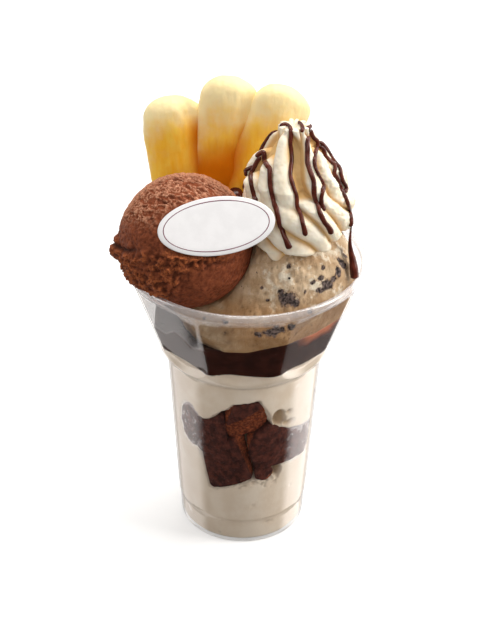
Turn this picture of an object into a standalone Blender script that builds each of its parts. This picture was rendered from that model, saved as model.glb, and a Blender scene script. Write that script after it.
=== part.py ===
# An ice cream sundae in a clear panelled cup: whipped cream layers with brownie cubes,
# fudge, two big scoops, a piped cream swirl with sauce, three banana pieces and an oval tag.
# Units are metres, +Z is up, and the origin is the centre of the cup's foot.
import math

import bmesh
import bpy
from mathutils import Matrix, Vector, noise

# Cup
CUP_HEIGHT = 0.1283
RIM_RADIUS = 0.0490
FOOT_RADIUS = 0.0262
WALL = 0.0008
FLOOR_TOP = 0.0012
LOWER_RING_HEIGHT = 0.0120
SHOULDER_HEIGHT = 0.0840
SHOULDER_RADIUS = 0.0320
FUNNEL_FOOT_HEIGHT = 0.0880
FUNNEL_FOOT_RADIUS = 0.0354
FUNNEL_TOP_HEIGHT = 0.1242
FUNNEL_TOP_RADIUS = 0.0479
RIM_INNER_RADIUS = 0.0466
PANELS = 8
PANEL_ARCH_HEIGHT = 0.0050
CUP_SEGMENTS = 40

# Everything that touches keeps this gap, because the meshes hold 32-bit numbers.
GAP = 0.0003

# Layers in the cup
CREAM_SPLIT = 0.0540
CREAM_TOP = 0.0910
FUDGE_DIP = 0.0985
# Height of the fudge on the wall, by bearing in degrees from the front towards the right
FUDGE_RIM = [
    (-180, 0.1060),
    (-95, 0.1040),
    (-55, 0.1015),
    (-40, 0.1035),
    (-20, 0.1065),
    (0, 0.1070),
    (16, 0.1100),
    (30, 0.1108),
    (55, 0.1100),
    (95, 0.1080),
    (180, 0.1060),
]

# Scoops
CHOCOLATE_CENTRE = Vector((-0.0234, -0.0132, 0.1412))
CHOCOLATE_RADIUS = 0.0263
COOKIE_CENTRE = Vector((0.0090, 0.0000, 0.1160))
# The cookie scoop is one ball sunk into a soft base: (centre, half sizes) of each mass
COOKIE_MASSES = [
    (Vector((0.0172, -0.0040, 0.1215)), Vector((0.0272, 0.0280, 0.0270))),
    (Vector((0.0080, -0.0040, 0.1080)), Vector((0.0345, 0.0385, 0.0165))),
    (Vector((0.0000, 0.0140, 0.1080)), Vector((0.0380, 0.0240, 0.0140))),
]
COOKIE_BLEND = 0.0070
# The chocolate scoop's seat in it, moved towards the viewer so that its whole edge shows
SEAT_SHIFT = Vector((0.0, -0.0060, 0.0040))

# Piped swirl
SWIRL_AXIS = Vector((0.0200, -0.0075, 0.0))
SWIRL_LEAN = -0.0024
SWIRL_FOOT = 0.1425
SWIRL_TOP = 0.1885
SWIRL_RIDGES = 16
# Crest radius by height of the two rounds of piping, and how deep their grooves are
UPPER_ROUND = [
    (0.1425, 0.0150),
    (0.1600, 0.0185),
    (0.1680, 0.0183),
    (0.1740, 0.0148),
    (0.1810, 0.0096),
    (0.1865, 0.0054),
    (0.1885, 0.0030),
]
LOWER_ROUND = [
    (0.1425, 0.0195),
    (0.1460, 0.0215),
    (0.1550, 0.0224),
    (0.1630, 0.0216),
    (0.1685, 0.0190),
    (0.1715, 0.0140),
    (0.1750, 0.0040),
]
UPPER_GROOVE = 0.0042
LOWER_GROOVE = 0.0026
SWIRL_TWIST = math.radians(75)

# Bananas
BANANA_WIDTH = 0.0228
BANANA_DEPTH = 0.0150
# Share of the full width by the distance from the top end
BANANA_TAPER = [
    (0.0000, 0.00),
    (0.0008, 0.42),
    (0.0024, 0.66),
    (0.0055, 0.87),
    (0.0100, 0.97),
    (0.0170, 1.00),
    (0.0300, 0.97),
    (0.0450, 0.84),
    (0.0600, 0.66),
    (0.0700, 0.50),
    (0.0760, 0.00),
]

# Oval tag pressed on the chocolate scoop, square to the viewer
TAG_CENTRE = Vector((-0.0111, -0.0327, 0.1584))
TAG_HALF_LENGTH = 0.0221
TAG_HALF_HEIGHT = 0.0110
TAG_THICKNESS = 0.0012
TAG_LEAN = math.radians(-32)
TAG_ROLL = math.radians(7.8)


def clear_scene():
    for obj in list(bpy.data.objects):
        bpy.data.objects.remove(obj, do_unlink=True)


def new_collection(name):
    collection = bpy.data.collections.new(name)
    bpy.context.scene.collection.children.link(collection)
    return collection


def new_material(name, colour, roughness, alpha=1.0):
    material = bpy.data.materials.new(name)
    material.use_nodes = True
    shader = material.node_tree.nodes["Principled BSDF"]
    shader.inputs["Base Color"].default_value = (*colour, 1.0)
    shader.inputs["Roughness"].default_value = roughness
    shader.inputs["Metallic"].default_value = 0.0
    shader.inputs["Alpha"].default_value = alpha
    return material


def mix(a, b, share):
    return a + (b - a) * share


def smooth(low, high, value):
    share = min(1.0, max(0.0, (value - low) / (high - low)))
    return share * share * (3.0 - 2.0 * share)


def along(stations, value):
    """The second number of each station, read between stations at this first number."""
    if value <= stations[0][0]:
        return stations[0][1]
    for (x0, y0), (x1, y1) in zip(stations, stations[1:]):
        if value <= x1:
            return mix(y0, y1, (value - x0) / (x1 - x0))
    return stations[-1][1]


def bumps(point, size, seed=0.0):
    """Smooth noise from -1 to 1 whose lumps are about size across."""
    return noise.noise(point / size + Vector((seed, seed * 1.7, -seed)))


def object_of(name, mesh_data, collection, material=None, flat=False):
    mesh = bpy.data.meshes.new(name)
    mesh_data.to_mesh(mesh)
    mesh_data.free()
    obj = bpy.data.objects.new(name, mesh)
    collection.objects.link(obj)
    if material:
        mesh.materials.append(material)
    if not flat:
        mesh.shade_smooth()
        mesh.set_sharp_from_angle(angle=math.radians(50))
    return obj


def as_cutter(obj):
    obj.hide_render = True
    obj.display_type = "WIRE"
    return obj


def grown(obj, collection):
    """A copy of this object's plain mesh, swollen by the gap, that its neighbours are cut with."""
    twin = bpy.data.objects.new(obj.name + "_space", obj.data.copy())
    twin.matrix_world = obj.matrix_world
    collection.objects.link(twin)
    swell = twin.modifiers.new("Gap", "DISPLACE")
    swell.strength = GAP
    swell.mid_level = 0.0
    return as_cutter(twin)


def boolean(obj, other, operation):
    """Adds a Boolean on one object, or on all objects of a collection."""
    modifier = obj.modifiers.new(operation.title() + " " + other.name, "BOOLEAN")
    modifier.operation = operation
    modifier.solver = "MANIFOLD"
    if isinstance(other, bpy.types.Collection):
        modifier.operand_type = "COLLECTION"
        modifier.collection = other
    else:
        modifier.object = other
    return modifier


def apply_modifiers(obj):
    graph = bpy.context.evaluated_depsgraph_get()
    mesh = bpy.data.meshes.new_from_object(obj.evaluated_get(graph))
    obj.modifiers.clear()
    obj.data = mesh
    mesh.shade_smooth()
    mesh.set_sharp_from_angle(angle=math.radians(50))
    return obj


def drop_scraps(obj):
    """Applies the cuts and keeps only the largest body, without the crumbs left between cuts."""
    data = bmesh.new()
    data.from_mesh(apply_modifiers(obj).data)
    waiting = set(data.verts)
    bodies = []
    while waiting:
        body = {waiting.pop()}
        front = list(body)
        while front:
            for edge in front.pop().link_edges:
                for vertex in edge.verts:
                    if vertex in waiting:
                        waiting.remove(vertex)
                        body.add(vertex)
                        front.append(vertex)
        bodies.append(body)
    bodies.sort(key=len)
    for body in bodies[:-1]:
        bmesh.ops.delete(data, geom=list(body), context="VERTS")
    data.to_mesh(obj.data)
    data.free()


# The cup's wall: a turned profile whose funnel is pressed into flat panels


def outer_profile():
    """Radius and height down the outside, from the rim's top to the foot."""
    return [
        (0.0483, CUP_HEIGHT),
        (RIM_RADIUS, 0.1272),
        (RIM_RADIUS, 0.1256),
        (0.0485, 0.1246),
        (FUNNEL_TOP_RADIUS, FUNNEL_TOP_HEIGHT),
        (0.0470, 0.1215),
        (0.0405, 0.1028),
        (0.0369, 0.0925),
        (FUNNEL_FOOT_RADIUS, FUNNEL_FOOT_HEIGHT),
        (0.0336, 0.0856),
        (0.0326, 0.0850),
        (SHOULDER_RADIUS, SHOULDER_HEIGHT),
        (0.0278, LOWER_RING_HEIGHT + 0.0006),
        (0.0272, LOWER_RING_HEIGHT - 0.0004),
        (0.0268, 0.0012),
        (FOOT_RADIUS, 0.0),
    ]


def wall_stations():
    """(height, outer radius) up the wall, without the rim."""
    return sorted((z, r) for r, z in outer_profile()[4:])


def turned(name, profile, collection, segments=CUP_SEGMENTS):
    """A closed body of revolution. The profile starts and ends on the axis, and runs down the outer side."""
    outline = bmesh.new()
    points = [outline.verts.new((radius, 0.0, height)) for radius, height in profile]
    for first, second in zip(points, points[1:]):
        outline.edges.new((first, second))
    obj = object_of(name, outline, collection, flat=True)
    screw = obj.modifiers.new("Turn", "SCREW")
    screw.steps = segments
    screw.render_steps = segments
    screw.use_merge_vertices = True
    screw.merge_threshold = 0.00001
    return apply_modifiers(obj)


def panel_share(bearing, height):
    """How far the wall is pressed flat here: 1 on a panel, 0 below its arched foot and at the round rim."""
    arch = PANEL_ARCH_HEIGHT * (bearing / (math.pi / PANELS)) ** 2
    foot = SHOULDER_HEIGHT + 0.0015 + arch
    return smooth(foot, foot + 0.0040, height) * (1.0 - smooth(0.1205, FUNNEL_TOP_HEIGHT, height))


def press_panels(obj):
    """Moves the funnel's points inwards onto the flat panels."""
    half = math.pi / PANELS
    for vertex in obj.data.vertices:
        x, y, z = vertex.co
        if z < SHOULDER_HEIGHT or z > FUNNEL_TOP_HEIGHT:
            continue
        radius = math.hypot(x, y)
        turn = math.atan2(y, x) + math.pi / 2 + half
        bearing = turn % (2 * half) - half
        flat = radius * math.cos(half) / math.cos(bearing)
        pressed = mix(radius, flat, panel_share(bearing, z))
        if radius > 0.02:
            vertex.co.x *= pressed / radius
            vertex.co.y *= pressed / radius
    return obj


def build_cup(collection, material):
    wall = [(radius - WALL, height) for radius, height in reversed(outer_profile()[4:-2])]
    inside = [(0.0, FLOOR_TOP), (0.0252, FLOOR_TOP), (0.0262, FLOOR_TOP + 0.0012)] + wall
    rim = [(0.0469, 0.1258), (RIM_INNER_RADIUS, 0.1272), (0.0472, CUP_HEIGHT)]
    cup = turned("cup", inside + rim + outer_profile() + [(0.0, 0.0)], collection)
    cup.data.materials.append(material)
    return press_panels(cup)


def build_free_space(cup, collection):
    """All that the contents may fill: the cup's inside less the gap, and open air above the rim."""
    wall = [(radius - WALL / 2, height) for radius, height in outer_profile()[4:-2]]
    profile = [
        (0.0, 0.2300),
        (0.0800, 0.2300),
        (0.0800, CUP_HEIGHT + GAP),
        (0.0480, CUP_HEIGHT + GAP),
        *wall,
        (0.0262, FLOOR_TOP / 2),
        (0.0, FLOOR_TOP / 2),
    ]
    space = press_panels(turned("free_space", profile, collection))
    boolean(space, grown(cup, collection), "DIFFERENCE")
    return as_cutter(apply_modifiers(space))


# Soft layers in the cup


def slab(name, top_height, foot_height, collection, material=None, cells=11, half=0.0480):
    """A square slab whose two faces follow the height functions."""
    data = bmesh.new()
    bmesh.ops.create_grid(data, x_segments=cells, y_segments=cells, size=half)
    bmesh.ops.triangulate(data, faces=data.faces[:])
    made = bmesh.ops.extrude_face_region(data, geom=data.faces[:])
    upper = {item for item in made["geom"] if isinstance(item, bmesh.types.BMVert)}
    for vertex in data.verts:
        height = top_height if vertex in upper else foot_height
        vertex.co.z = height(vertex.co.x, vertex.co.y)
    bmesh.ops.recalc_face_normals(data, faces=data.faces[:])
    return object_of(name, data, collection, material)


def split_height(x, y):
    """Where the lower cream ends and the upper cream begins."""
    return CREAM_SPLIT + 0.0016 * bumps(Vector((x, y, 0.0)), 0.014, 3.0)


def cream_top_height(x, y):
    return CREAM_TOP + 0.0012 * bumps(Vector((x, y, 0.0)), 0.013, 8.0)


def fudge_top_height(x, y):
    """A bowl pressed by the scoop: pushed up the wall at the front right, and low at the left."""
    bearing = math.degrees(math.atan2(x, -y))
    share = min(1.1, math.hypot(x, y) / 0.0400)
    return mix(FUDGE_DIP, along(FUDGE_RIM, bearing), share**2.2)


def build_layers(collection, cutters, space, brownie_spaces, cream, fudge):
    """Returns a slab that reaches the gap above the fudge, for what lies on it."""
    lower = slab("cream_lower", split_height, lambda x, y: 0.0, collection, cream)
    boolean(lower, space, "INTERSECT")
    boolean(lower, brownie_spaces, "DIFFERENCE")
    drop_scraps(lower)
    upper = slab(
        "cream_upper",
        cream_top_height,
        lambda x, y: split_height(x, y) + GAP,
        collection,
        cream,
    )
    boolean(upper, space, "INTERSECT")
    boolean(upper, brownie_spaces, "DIFFERENCE")
    drop_scraps(upper)
    sauce = slab(
        "fudge",
        fudge_top_height,
        lambda x, y: cream_top_height(x, y) + GAP,
        collection,
        fudge,
    )
    boolean(sauce, space, "INTERSECT")
    return as_cutter(
        slab(
            "fudge_space",
            lambda x, y: fudge_top_height(x, y) + GAP,
            lambda x, y: 0.0,
            cutters,
        )
    )


# Brownie cubes, as (name, bearing from the front in degrees, height of the middle, turn on the
# wall in degrees, width, height). Each is 16 mm deep and presses on the wall.

BROWNIES = [
    ("brownie_front_top", 3, 0.0658, 13, 0.0182, 0.0172),
    ("brownie_front_low", -14, 0.0422, 15, 0.0182, 0.0195),
    ("brownie_front_left", -38, 0.0572, 6, 0.0225, 0.0175),
    ("brownie_front_right", 24, 0.0508, -6, 0.0215, 0.0185),
    ("brownie_low_right", 15, 0.0385, 8, 0.0145, 0.0120),
    ("brownie_right", 55, 0.0475, -14, 0.0165, 0.0155),
    ("brownie_back_right", 100, 0.0590, 12, 0.0200, 0.0180),
    ("brownie_back", 143, 0.0500, -9, 0.0190, 0.0190),
    ("brownie_back_left", 188, 0.0590, 7, 0.0205, 0.0175),
    ("brownie_left", 240, 0.0520, -12, 0.0190, 0.0190),
]
BROWNIE_DEPTH = 0.0160


def wall_radius(height):
    return along(wall_stations(), height)


def brownie_cube(name, bearing, height, roll, width, tall, collection, material):
    """A cut cube with rounded, slightly uneven edges, whose outer face lies on the wall."""
    data = bmesh.new()
    bmesh.ops.create_cube(data, size=1.0)
    bmesh.ops.scale(data, vec=(width, BROWNIE_DEPTH, tall), verts=data.verts[:])
    bmesh.ops.bevel(data, geom=data.edges[:], offset=0.0020, segments=1, affect="EDGES")
    bmesh.ops.triangulate(data, faces=data.faces[:])
    for vertex in data.verts:
        vertex.co *= 1.0 + 0.06 * bumps(vertex.co, 0.0090, height * 900.0)
    obj = object_of(name, data, collection, material, flat=True)
    out = wall_radius(height) + 0.0006 - BROWNIE_DEPTH / 2
    turn = Matrix.Rotation(math.radians(bearing), 4, "Z")
    place = Matrix.Translation((0.0, -out, height))
    obj.matrix_world = turn @ place @ Matrix.Rotation(-math.radians(roll), 4, "Y")
    return obj


def build_brownies(collection, space, material):
    """Each cube gives way to the ones before it. Returns the grown cubes that the cream is cut by."""
    spaces = new_collection("BrownieSpaces")
    for row in BROWNIES:
        cube = brownie_cube(*row, collection, material)
        boolean(cube, space, "INTERSECT")
        for other in spaces.objects:
            if (other.matrix_world.translation - cube.matrix_world.translation).length < 0.030:
                boolean(cube, other, "DIFFERENCE")
        grown(cube, spaces)
    return spaces


# Scoops


def ball(name, centre, radius_at, collection, material, detail=(30, 16)):
    """A sphere whose points are moved out to the radius that the rule gives for their direction."""
    data = bmesh.new()
    bmesh.ops.create_uvsphere(data, u_segments=detail[0], v_segments=detail[1], radius=1.0)
    for vertex in data.verts:
        direction = vertex.co.normalized()
        vertex.co = centre + direction * radius_at(direction)
    return object_of(name, data, collection, material)


def chocolate_radius(direction):
    """A round scoop with a shaggy skirt below its middle, widest at the left where a lobe sticks out."""
    lumps = 0.6 * bumps(direction, 0.40, 4.0) + 0.4 * bumps(direction, 0.20, 9.0)
    left = smooth(0.55, -0.75, direction.x)
    low = -0.28 - 0.22 * left
    tall = 0.10 + 0.16 * left
    skirt = math.exp(-(((direction.z - low) / tall) ** 2))
    lobe = smooth(0.955, 0.995, direction.dot(Vector((-0.985, -0.10, -0.14))))
    return CHOCOLATE_RADIUS + skirt * (0.0005 + 0.0014 * lumps) + 0.0036 * lobe + 0.0003 * lumps


def ellipsoid_distance(point, centre, half_sizes):
    offset = point - centre
    scaled = Vector((offset[i] / half_sizes[i] for i in range(3)))
    return (scaled.length - 1.0) * min(half_sizes)


def blend(a, b, width):
    """The smaller of two distances, rounded where they meet."""
    share = max(width - abs(a - b), 0.0) / width
    return min(a, b) - share * share * width / 4.0


def cookie_distance(point):
    """Below zero inside the cookie scoop, less the chocolate scoop's seat."""
    near = 1.0
    for mass in COOKIE_MASSES:
        near = blend(near, ellipsoid_distance(point, *mass), COOKIE_BLEND)
    seat = (point - CHOCOLATE_CENTRE - SEAT_SHIFT).length - CHOCOLATE_RADIUS
    return -blend(-near, seat, 0.0030)


def cookie_radius(direction):
    near, far = 0.0, 0.0600
    for _ in range(24):
        middle = (near + far) / 2.0
        if cookie_distance(COOKIE_CENTRE + direction * middle) < 0.0:
            near = middle
        else:
            far = middle
    return near + 0.0005 * bumps(direction, 0.30, 2.0)


def build_scoops(collection, cutters, space, others, fudge_space, chocolate, cookie):
    """The chocolate scoop is whole, and the cookie scoop gives way to it and to the fudge."""
    scoop = ball("chocolate_scoop", CHOCOLATE_CENTRE, chocolate_radius, collection, chocolate)
    under = ball("cookie_scoop", COOKIE_CENTRE, cookie_radius, collection, cookie)
    scoop_space = grown(scoop, cutters)
    for obj in (scoop, under):
        boolean(obj, space, "INTERSECT")
        for other in others:
            boolean(obj, other, "DIFFERENCE")
    boolean(under, scoop_space, "DIFFERENCE")
    boolean(under, fudge_space, "DIFFERENCE")
    return scoop_space, grown(under, cutters)


# Piped swirl with sauce


def swirl_radius(bearing, height):
    """Radius at this bearing: upright ridges above, and a lower round whose ridges lean to the right."""
    upper = along(UPPER_ROUND, height)
    lower = along(LOWER_ROUND, height)
    turn = SWIRL_TWIST * max(0.0, (0.1715 - height) / 0.0290) ** 1.3
    upper -= UPPER_GROOVE * abs(math.sin(SWIRL_RIDGES * bearing / 2.0)) * smooth(0.0, 0.009, upper)
    lower -= LOWER_GROOVE * abs(math.sin(SWIRL_RIDGES * (bearing - turn) / 2.0))
    return -blend(-upper, -lower, 0.0015)


def swirl_centre(height):
    share = smooth(0.1550, 0.1750, height)
    return SWIRL_AXIS + Vector((SWIRL_LEAN * share, 0.0, height))


def build_swirl_body(collection, material):
    data = bmesh.new()
    rings = 13
    bmesh.ops.create_uvsphere(data, u_segments=SWIRL_RIDGES * 3, v_segments=rings, radius=1.0)
    for vertex in data.verts:
        level = math.acos(max(-1.0, min(1.0, -vertex.co.z))) / math.pi * rings
        height = mix(SWIRL_FOOT, SWIRL_TOP, min(1.0, max(0.0, (level - 1.0) / (rings - 2.0))))
        turn = SWIRL_TWIST * max(0.0, (0.1715 - height) / 0.0290) ** 1.3
        bearing = math.atan2(vertex.co.y, vertex.co.x) + turn * smooth(0.1715, 0.1650, height)
        radius = swirl_radius(bearing, height)
        if level < 0.5 or level > rings - 0.5:
            radius = 0.0
        spread = Vector((math.cos(bearing), math.sin(bearing), 0.0)) * radius
        vertex.co = swirl_centre(height) + spread
    return object_of("whipped_swirl", data, collection, material)


# Sauce strands, as (radius, [(bearing from the front in degrees, height), ...] from the top down,
# places that the strand runs on to below the swirl)
STRANDS = [
    (0.0010, [(-97, 0.1690), (-80, 0.1694), (-64, 0.1684), (-49, 0.1630)], []),
    (0.0011, [(-102, 0.1755), (-60, 0.1760), (-36, 0.1705), (-22, 0.1630), (-10, 0.1466)], []),
    (0.0011, [(-90, 0.1875), (-20, 0.1870), (-5, 0.1790), (0, 0.1670), (8, 0.1523)], []),
    (0.0012, [(110, 0.1875), (66, 0.1820), (35, 0.1740), (25, 0.1630), (37, 0.1515)], []),
    (0.0011, [(103, 0.1780), (61, 0.1775), (47, 0.1720), (27, 0.1630)], []),
    (
        0.0012,
        [(110, 0.1800), (88, 0.1730), (72, 0.1660), (70, 0.1580), (74, 0.1470)],
        [
            Vector((0.0412, -0.0120, 0.1410)),
            Vector((0.0424, -0.0138, 0.1350)),
            Vector((0.0425, -0.0158, 0.1290)),
            Vector((0.0415, -0.0170, 0.1255)),
        ],
    ),
]


def strand_path(stations, tail, points=11):
    """Points along a strand: on the swirl through its stations, then on through the tail."""
    path = []
    for step in range(points):
        place = step / (points - 1) * (len(stations) - 1)
        bearing = along([(i, row[0]) for i, row in enumerate(stations)], place)
        height = along([(i, row[1]) for i, row in enumerate(stations)], place)
        angle = math.radians(bearing) - math.pi / 2
        reach = swirl_radius(angle, height) + 0.0002
        path.append(swirl_centre(height) + Vector((math.cos(angle), math.sin(angle), 0.0)) * reach)
    return path + tail


def build_strand(index, radius, stations, tail, collection):
    """A round thread of sauce that lies half sunk in the cream and swells at its end."""
    curve = bpy.data.curves.new("strand", "CURVE")
    curve.dimensions = "3D"
    curve.bevel_depth = radius
    curve.bevel_resolution = 0
    curve.use_fill_caps = True
    path = strand_path(stations, tail)
    spline = curve.splines.new("POLY")
    spline.points.add(len(path) - 1)
    for number, point in enumerate(path):
        spline.points[number].co = (*point, 1.0)
        spline.points[number].radius = 1.35 if number == len(path) - 2 else 1.0
    thread = bpy.data.objects.new("strand_curve", curve)
    collection.objects.link(thread)
    graph = bpy.context.evaluated_depsgraph_get()
    mesh = bpy.data.meshes.new_from_object(thread.evaluated_get(graph))
    welded = bmesh.new()
    welded.from_mesh(mesh)
    bmesh.ops.remove_doubles(welded, verts=welded.verts[:], dist=0.00001)
    obj = object_of(f"strand_{index}", welded, collection, flat=True)
    obj.matrix_world = thread.matrix_world
    bpy.data.objects.remove(thread)
    return obj


def build_swirl(collection, space, neighbours, material):
    swirl = build_swirl_body(collection, material)
    threads = new_collection("Strands")
    for index, row in enumerate(STRANDS):
        build_strand(index, *row, threads)
    boolean(swirl, threads, "UNION")
    apply_modifiers(swirl)
    for obj in list(threads.objects):
        bpy.data.objects.remove(obj)
    bpy.data.collections.remove(threads)
    boolean(swirl, space, "INTERSECT")
    for neighbour in neighbours:
        boolean(swirl, neighbour, "DIFFERENCE")
    return swirl


# Bananas, as (name, place of the top end, lean to the side in degrees, lean back, length, size)

BANANAS = [
    ("banana_left", Vector((-0.0318, 0.0235, 0.1867)), -5, 3, 1.03),
    ("banana_middle", Vector((-0.0078, 0.0215, 0.1966)), 6, 2, 1.02),
    ("banana_right", Vector((0.0152, 0.0180, 0.1940)), 18, 1, 1.03),
]
BANANA_LENGTH = 0.0760


def banana(name, top, lean_side, lean_back, size, collection, material):
    """A peeled banana piece standing on its thin end: blunt at the top, tapered below, gently curved."""
    data = bmesh.new()
    bmesh.ops.create_uvsphere(data, u_segments=15, v_segments=11, radius=1.0)
    for vertex in data.verts:
        drop = (1.0 - vertex.co.z) / 2.0 * BANANA_LENGTH
        bearing = math.atan2(vertex.co.y, vertex.co.x)
        taper = along(BANANA_TAPER, drop) * (1.0 + 0.03 * math.cos(5.0 * bearing + 0.6))
        width = BANANA_WIDTH * size / 2.0 * taper
        depth = BANANA_DEPTH * size / 2.0 * taper
        bend = 0.0160 * (drop / BANANA_LENGTH - 0.4) ** 2
        vertex.co = (width * math.cos(bearing), depth * math.sin(bearing) - bend, -drop)
    obj = object_of(name, data, collection, material)
    rotation = Matrix.Rotation(math.radians(lean_side), 4, "Y")
    rotation = rotation @ Matrix.Rotation(math.radians(-lean_back), 4, "X")
    obj.matrix_world = Matrix.Translation(top) @ rotation
    return obj


def build_bananas(collection, material):
    """The right piece lies in front, so each gives way to the ones after it in the row.
    Returns the grown pieces for the other cuts."""
    spaces = new_collection("BananaSpaces")
    for row in reversed(BANANAS):
        piece = banana(*row, collection, material)
        for other in spaces.objects:
            boolean(piece, other, "DIFFERENCE")
        grown(piece, spaces)
    return spaces


# Oval tag


def build_tag(collection, material):
    data = bmesh.new()
    bmesh.ops.create_cone(
        data,
        cap_ends=True,
        segments=36,
        radius1=1.0,
        radius2=1.0,
        depth=1.0,
    )
    size = (TAG_HALF_LENGTH, TAG_HALF_HEIGHT, TAG_THICKNESS)
    bmesh.ops.scale(data, vec=size, verts=data.verts[:])
    oval = object_of("oval_tag", data, collection, material)
    rotation = Matrix.Rotation(math.pi / 2 + TAG_LEAN, 4, "X") @ Matrix.Rotation(TAG_ROLL, 4, "Z")
    oval.matrix_world = Matrix.Translation(TAG_CENTRE) @ rotation
    return oval


def main():
    clear_scene()
    sundae = new_collection("IceCreamSundae")
    cutters = new_collection("Cutters")
    clear = new_material("clear_plastic", (0.93, 0.94, 0.95), 0.08, alpha=0.25)
    cream = new_material("whipped_cream", (0.90, 0.85, 0.74), 0.55)
    fudge = new_material("fudge_sauce", (0.06, 0.015, 0.008), 0.18)
    brownie = new_material("brownie_crumb", (0.09, 0.030, 0.015), 0.75)
    chocolate = new_material("chocolate_ice_cream", (0.26, 0.105, 0.060), 0.60)
    cookie = new_material("cookie_ice_cream", (0.72, 0.60, 0.44), 0.60)
    banana_flesh = new_material("banana_flesh", (0.88, 0.68, 0.30), 0.35)
    card = new_material("white_card", (0.90, 0.89, 0.88), 0.45)

    cup = build_cup(sundae, clear)
    space = build_free_space(cup, cutters)
    brownie_spaces = build_brownies(sundae, space, brownie)
    fudge_space = build_layers(sundae, cutters, space, brownie_spaces, cream, fudge)
    banana_spaces = build_bananas(sundae, banana_flesh)
    tag = build_tag(sundae, card)
    others = [banana_spaces, grown(tag, cutters)]
    scoop_spaces = build_scoops(sundae, cutters, space, others, fudge_space, chocolate, cookie)
    build_swirl(sundae, space, [*others, *scoop_spaces], cream)


main()
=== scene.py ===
# Ice cream sundae in a clear panelled cup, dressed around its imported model.
# Sizes are in millimetres, and mm turns them into metres where a mesh is made.
import math

import bpy
import numpy as np
from mathutils import Matrix, Vector, noise
from mathutils.bvhtree import BVHTree


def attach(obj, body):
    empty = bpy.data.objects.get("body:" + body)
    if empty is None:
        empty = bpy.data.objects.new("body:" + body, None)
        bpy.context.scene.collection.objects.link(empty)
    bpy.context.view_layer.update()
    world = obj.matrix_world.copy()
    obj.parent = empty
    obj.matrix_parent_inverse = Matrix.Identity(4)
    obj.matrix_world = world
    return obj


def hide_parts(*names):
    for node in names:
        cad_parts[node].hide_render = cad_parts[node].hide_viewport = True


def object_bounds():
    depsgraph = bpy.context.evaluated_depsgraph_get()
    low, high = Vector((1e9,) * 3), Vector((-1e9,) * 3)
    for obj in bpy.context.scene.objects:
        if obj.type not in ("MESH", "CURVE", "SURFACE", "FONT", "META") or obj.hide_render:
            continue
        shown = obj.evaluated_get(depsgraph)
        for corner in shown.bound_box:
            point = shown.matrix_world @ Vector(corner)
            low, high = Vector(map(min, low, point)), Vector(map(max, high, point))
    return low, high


mm = 0.001
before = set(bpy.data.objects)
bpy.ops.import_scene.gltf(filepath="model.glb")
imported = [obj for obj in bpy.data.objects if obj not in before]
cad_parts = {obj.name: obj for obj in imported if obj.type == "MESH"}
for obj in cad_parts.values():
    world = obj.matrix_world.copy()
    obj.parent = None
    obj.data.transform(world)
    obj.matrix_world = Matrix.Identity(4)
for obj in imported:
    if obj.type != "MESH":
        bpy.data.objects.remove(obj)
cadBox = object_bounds()
print("frame loaded")


# Small maths for the shapes, on arrays


def mixed(a, b, share):
    return a + (b - a) * share


def eased(low, high, value):
    share = np.clip((value - low) / (high - low), 0.0, 1.0)
    return share * share * (3.0 - 2.0 * share)


def along(stations, value):
    places, numbers = zip(*stations)
    return np.interp(value, places, numbers)


def merged(a, b, width):  # the smaller of two, rounded where they meet
    share = np.maximum(width - np.abs(a - b), 0.0) / width
    return np.minimum(a, b) - share * share * width / 4.0


def lumps(points, size, seed=0.0, octaves=1):  # noise from about -1 to 1
    rows = (points / size + np.array((seed, seed * 1.7, -seed))).reshape(-1, 3).tolist()
    if octaves == 1:
        drawn = [noise.noise(row) for row in rows]
    else:
        drawn = [noise.fractal(row, 1.0, 2.0, octaves) for row in rows]
    return np.array(drawn).reshape(points.shape[:-1])


def bubbles(points, size, seed=0.0):  # 0 in the middle of each bubble, up to about 1 between them
    rows = (points / size + seed).reshape(-1, 3).tolist()
    return np.array([noise.voronoi(row)[0][0] for row in rows]).reshape(points.shape[:-1])


def stacked(x, y, z):
    return np.stack(np.broadcast_arrays(x, y, z), axis=-1)


def atBearing(bearing, reach, height):  # bearings count from the front, towards the right
    return stacked(reach * np.sin(bearing), -reach * np.cos(bearing), height)


def aside(bearing, middle=0.0):  # difference of two bearings, from -pi to pi
    return (bearing - middle + math.pi) % (2 * math.pi) - math.pi


def roundTurn(columns):
    return np.arange(columns) / columns * 2 * math.pi


def unit(vector):
    vector = np.asarray(vector, float)
    return vector / np.linalg.norm(vector)


def curved(stops, count):  # a smooth line through the stops
    stops = np.asarray(stops, float)
    line = np.concatenate([[2 * stops[0] - stops[1]], stops, [2 * stops[-1] - stops[-2]]])
    place = np.linspace(0.0, len(stops) - 1.0, count)
    index = np.minimum(place.astype(int), len(stops) - 2)
    t = (place - index)[:, None]
    a, b, c, d = (line[index + step] for step in range(4))
    return 0.5 * (2 * b + (c - a) * t + (2 * a - 5 * b + 4 * c - d) * t**2 + (3 * b - a - 3 * c + d) * t**3)


# Mesh making


def ringFaces(rows, columns):  # quads between rings, and a fan to a point at either end
    here = np.arange(rows * columns).reshape(rows, columns)
    beside = np.roll(here, -1, axis=1)
    quads = np.stack([here[:-1], beside[:-1], beside[1:], here[1:]], axis=-1).reshape(-1, 4)
    foot, top = rows * columns, rows * columns + 1
    under = [(foot, q, p) for p, q in zip(here[0].tolist(), beside[0].tolist())]
    over = [(top, p, q) for p, q in zip(here[-1].tolist(), beside[-1].tolist())]
    return quads.tolist() + under + over


def newPiece(name, points, faces, material, masks=None):
    mesh = bpy.data.meshes.new(name)
    mesh.from_pydata((points * mm).tolist(), [], faces)
    mesh.shade_smooth()
    for mask, values in (masks or {}).items():
        layer = mesh.attributes.new(mask, "FLOAT", "POINT")
        layer.data.foreach_set("value", np.ascontiguousarray(values, dtype=np.float32))
    mesh.materials.append(material)
    piece = bpy.data.objects.new(name, mesh)
    bpy.context.scene.collection.objects.link(piece)
    return piece


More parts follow.
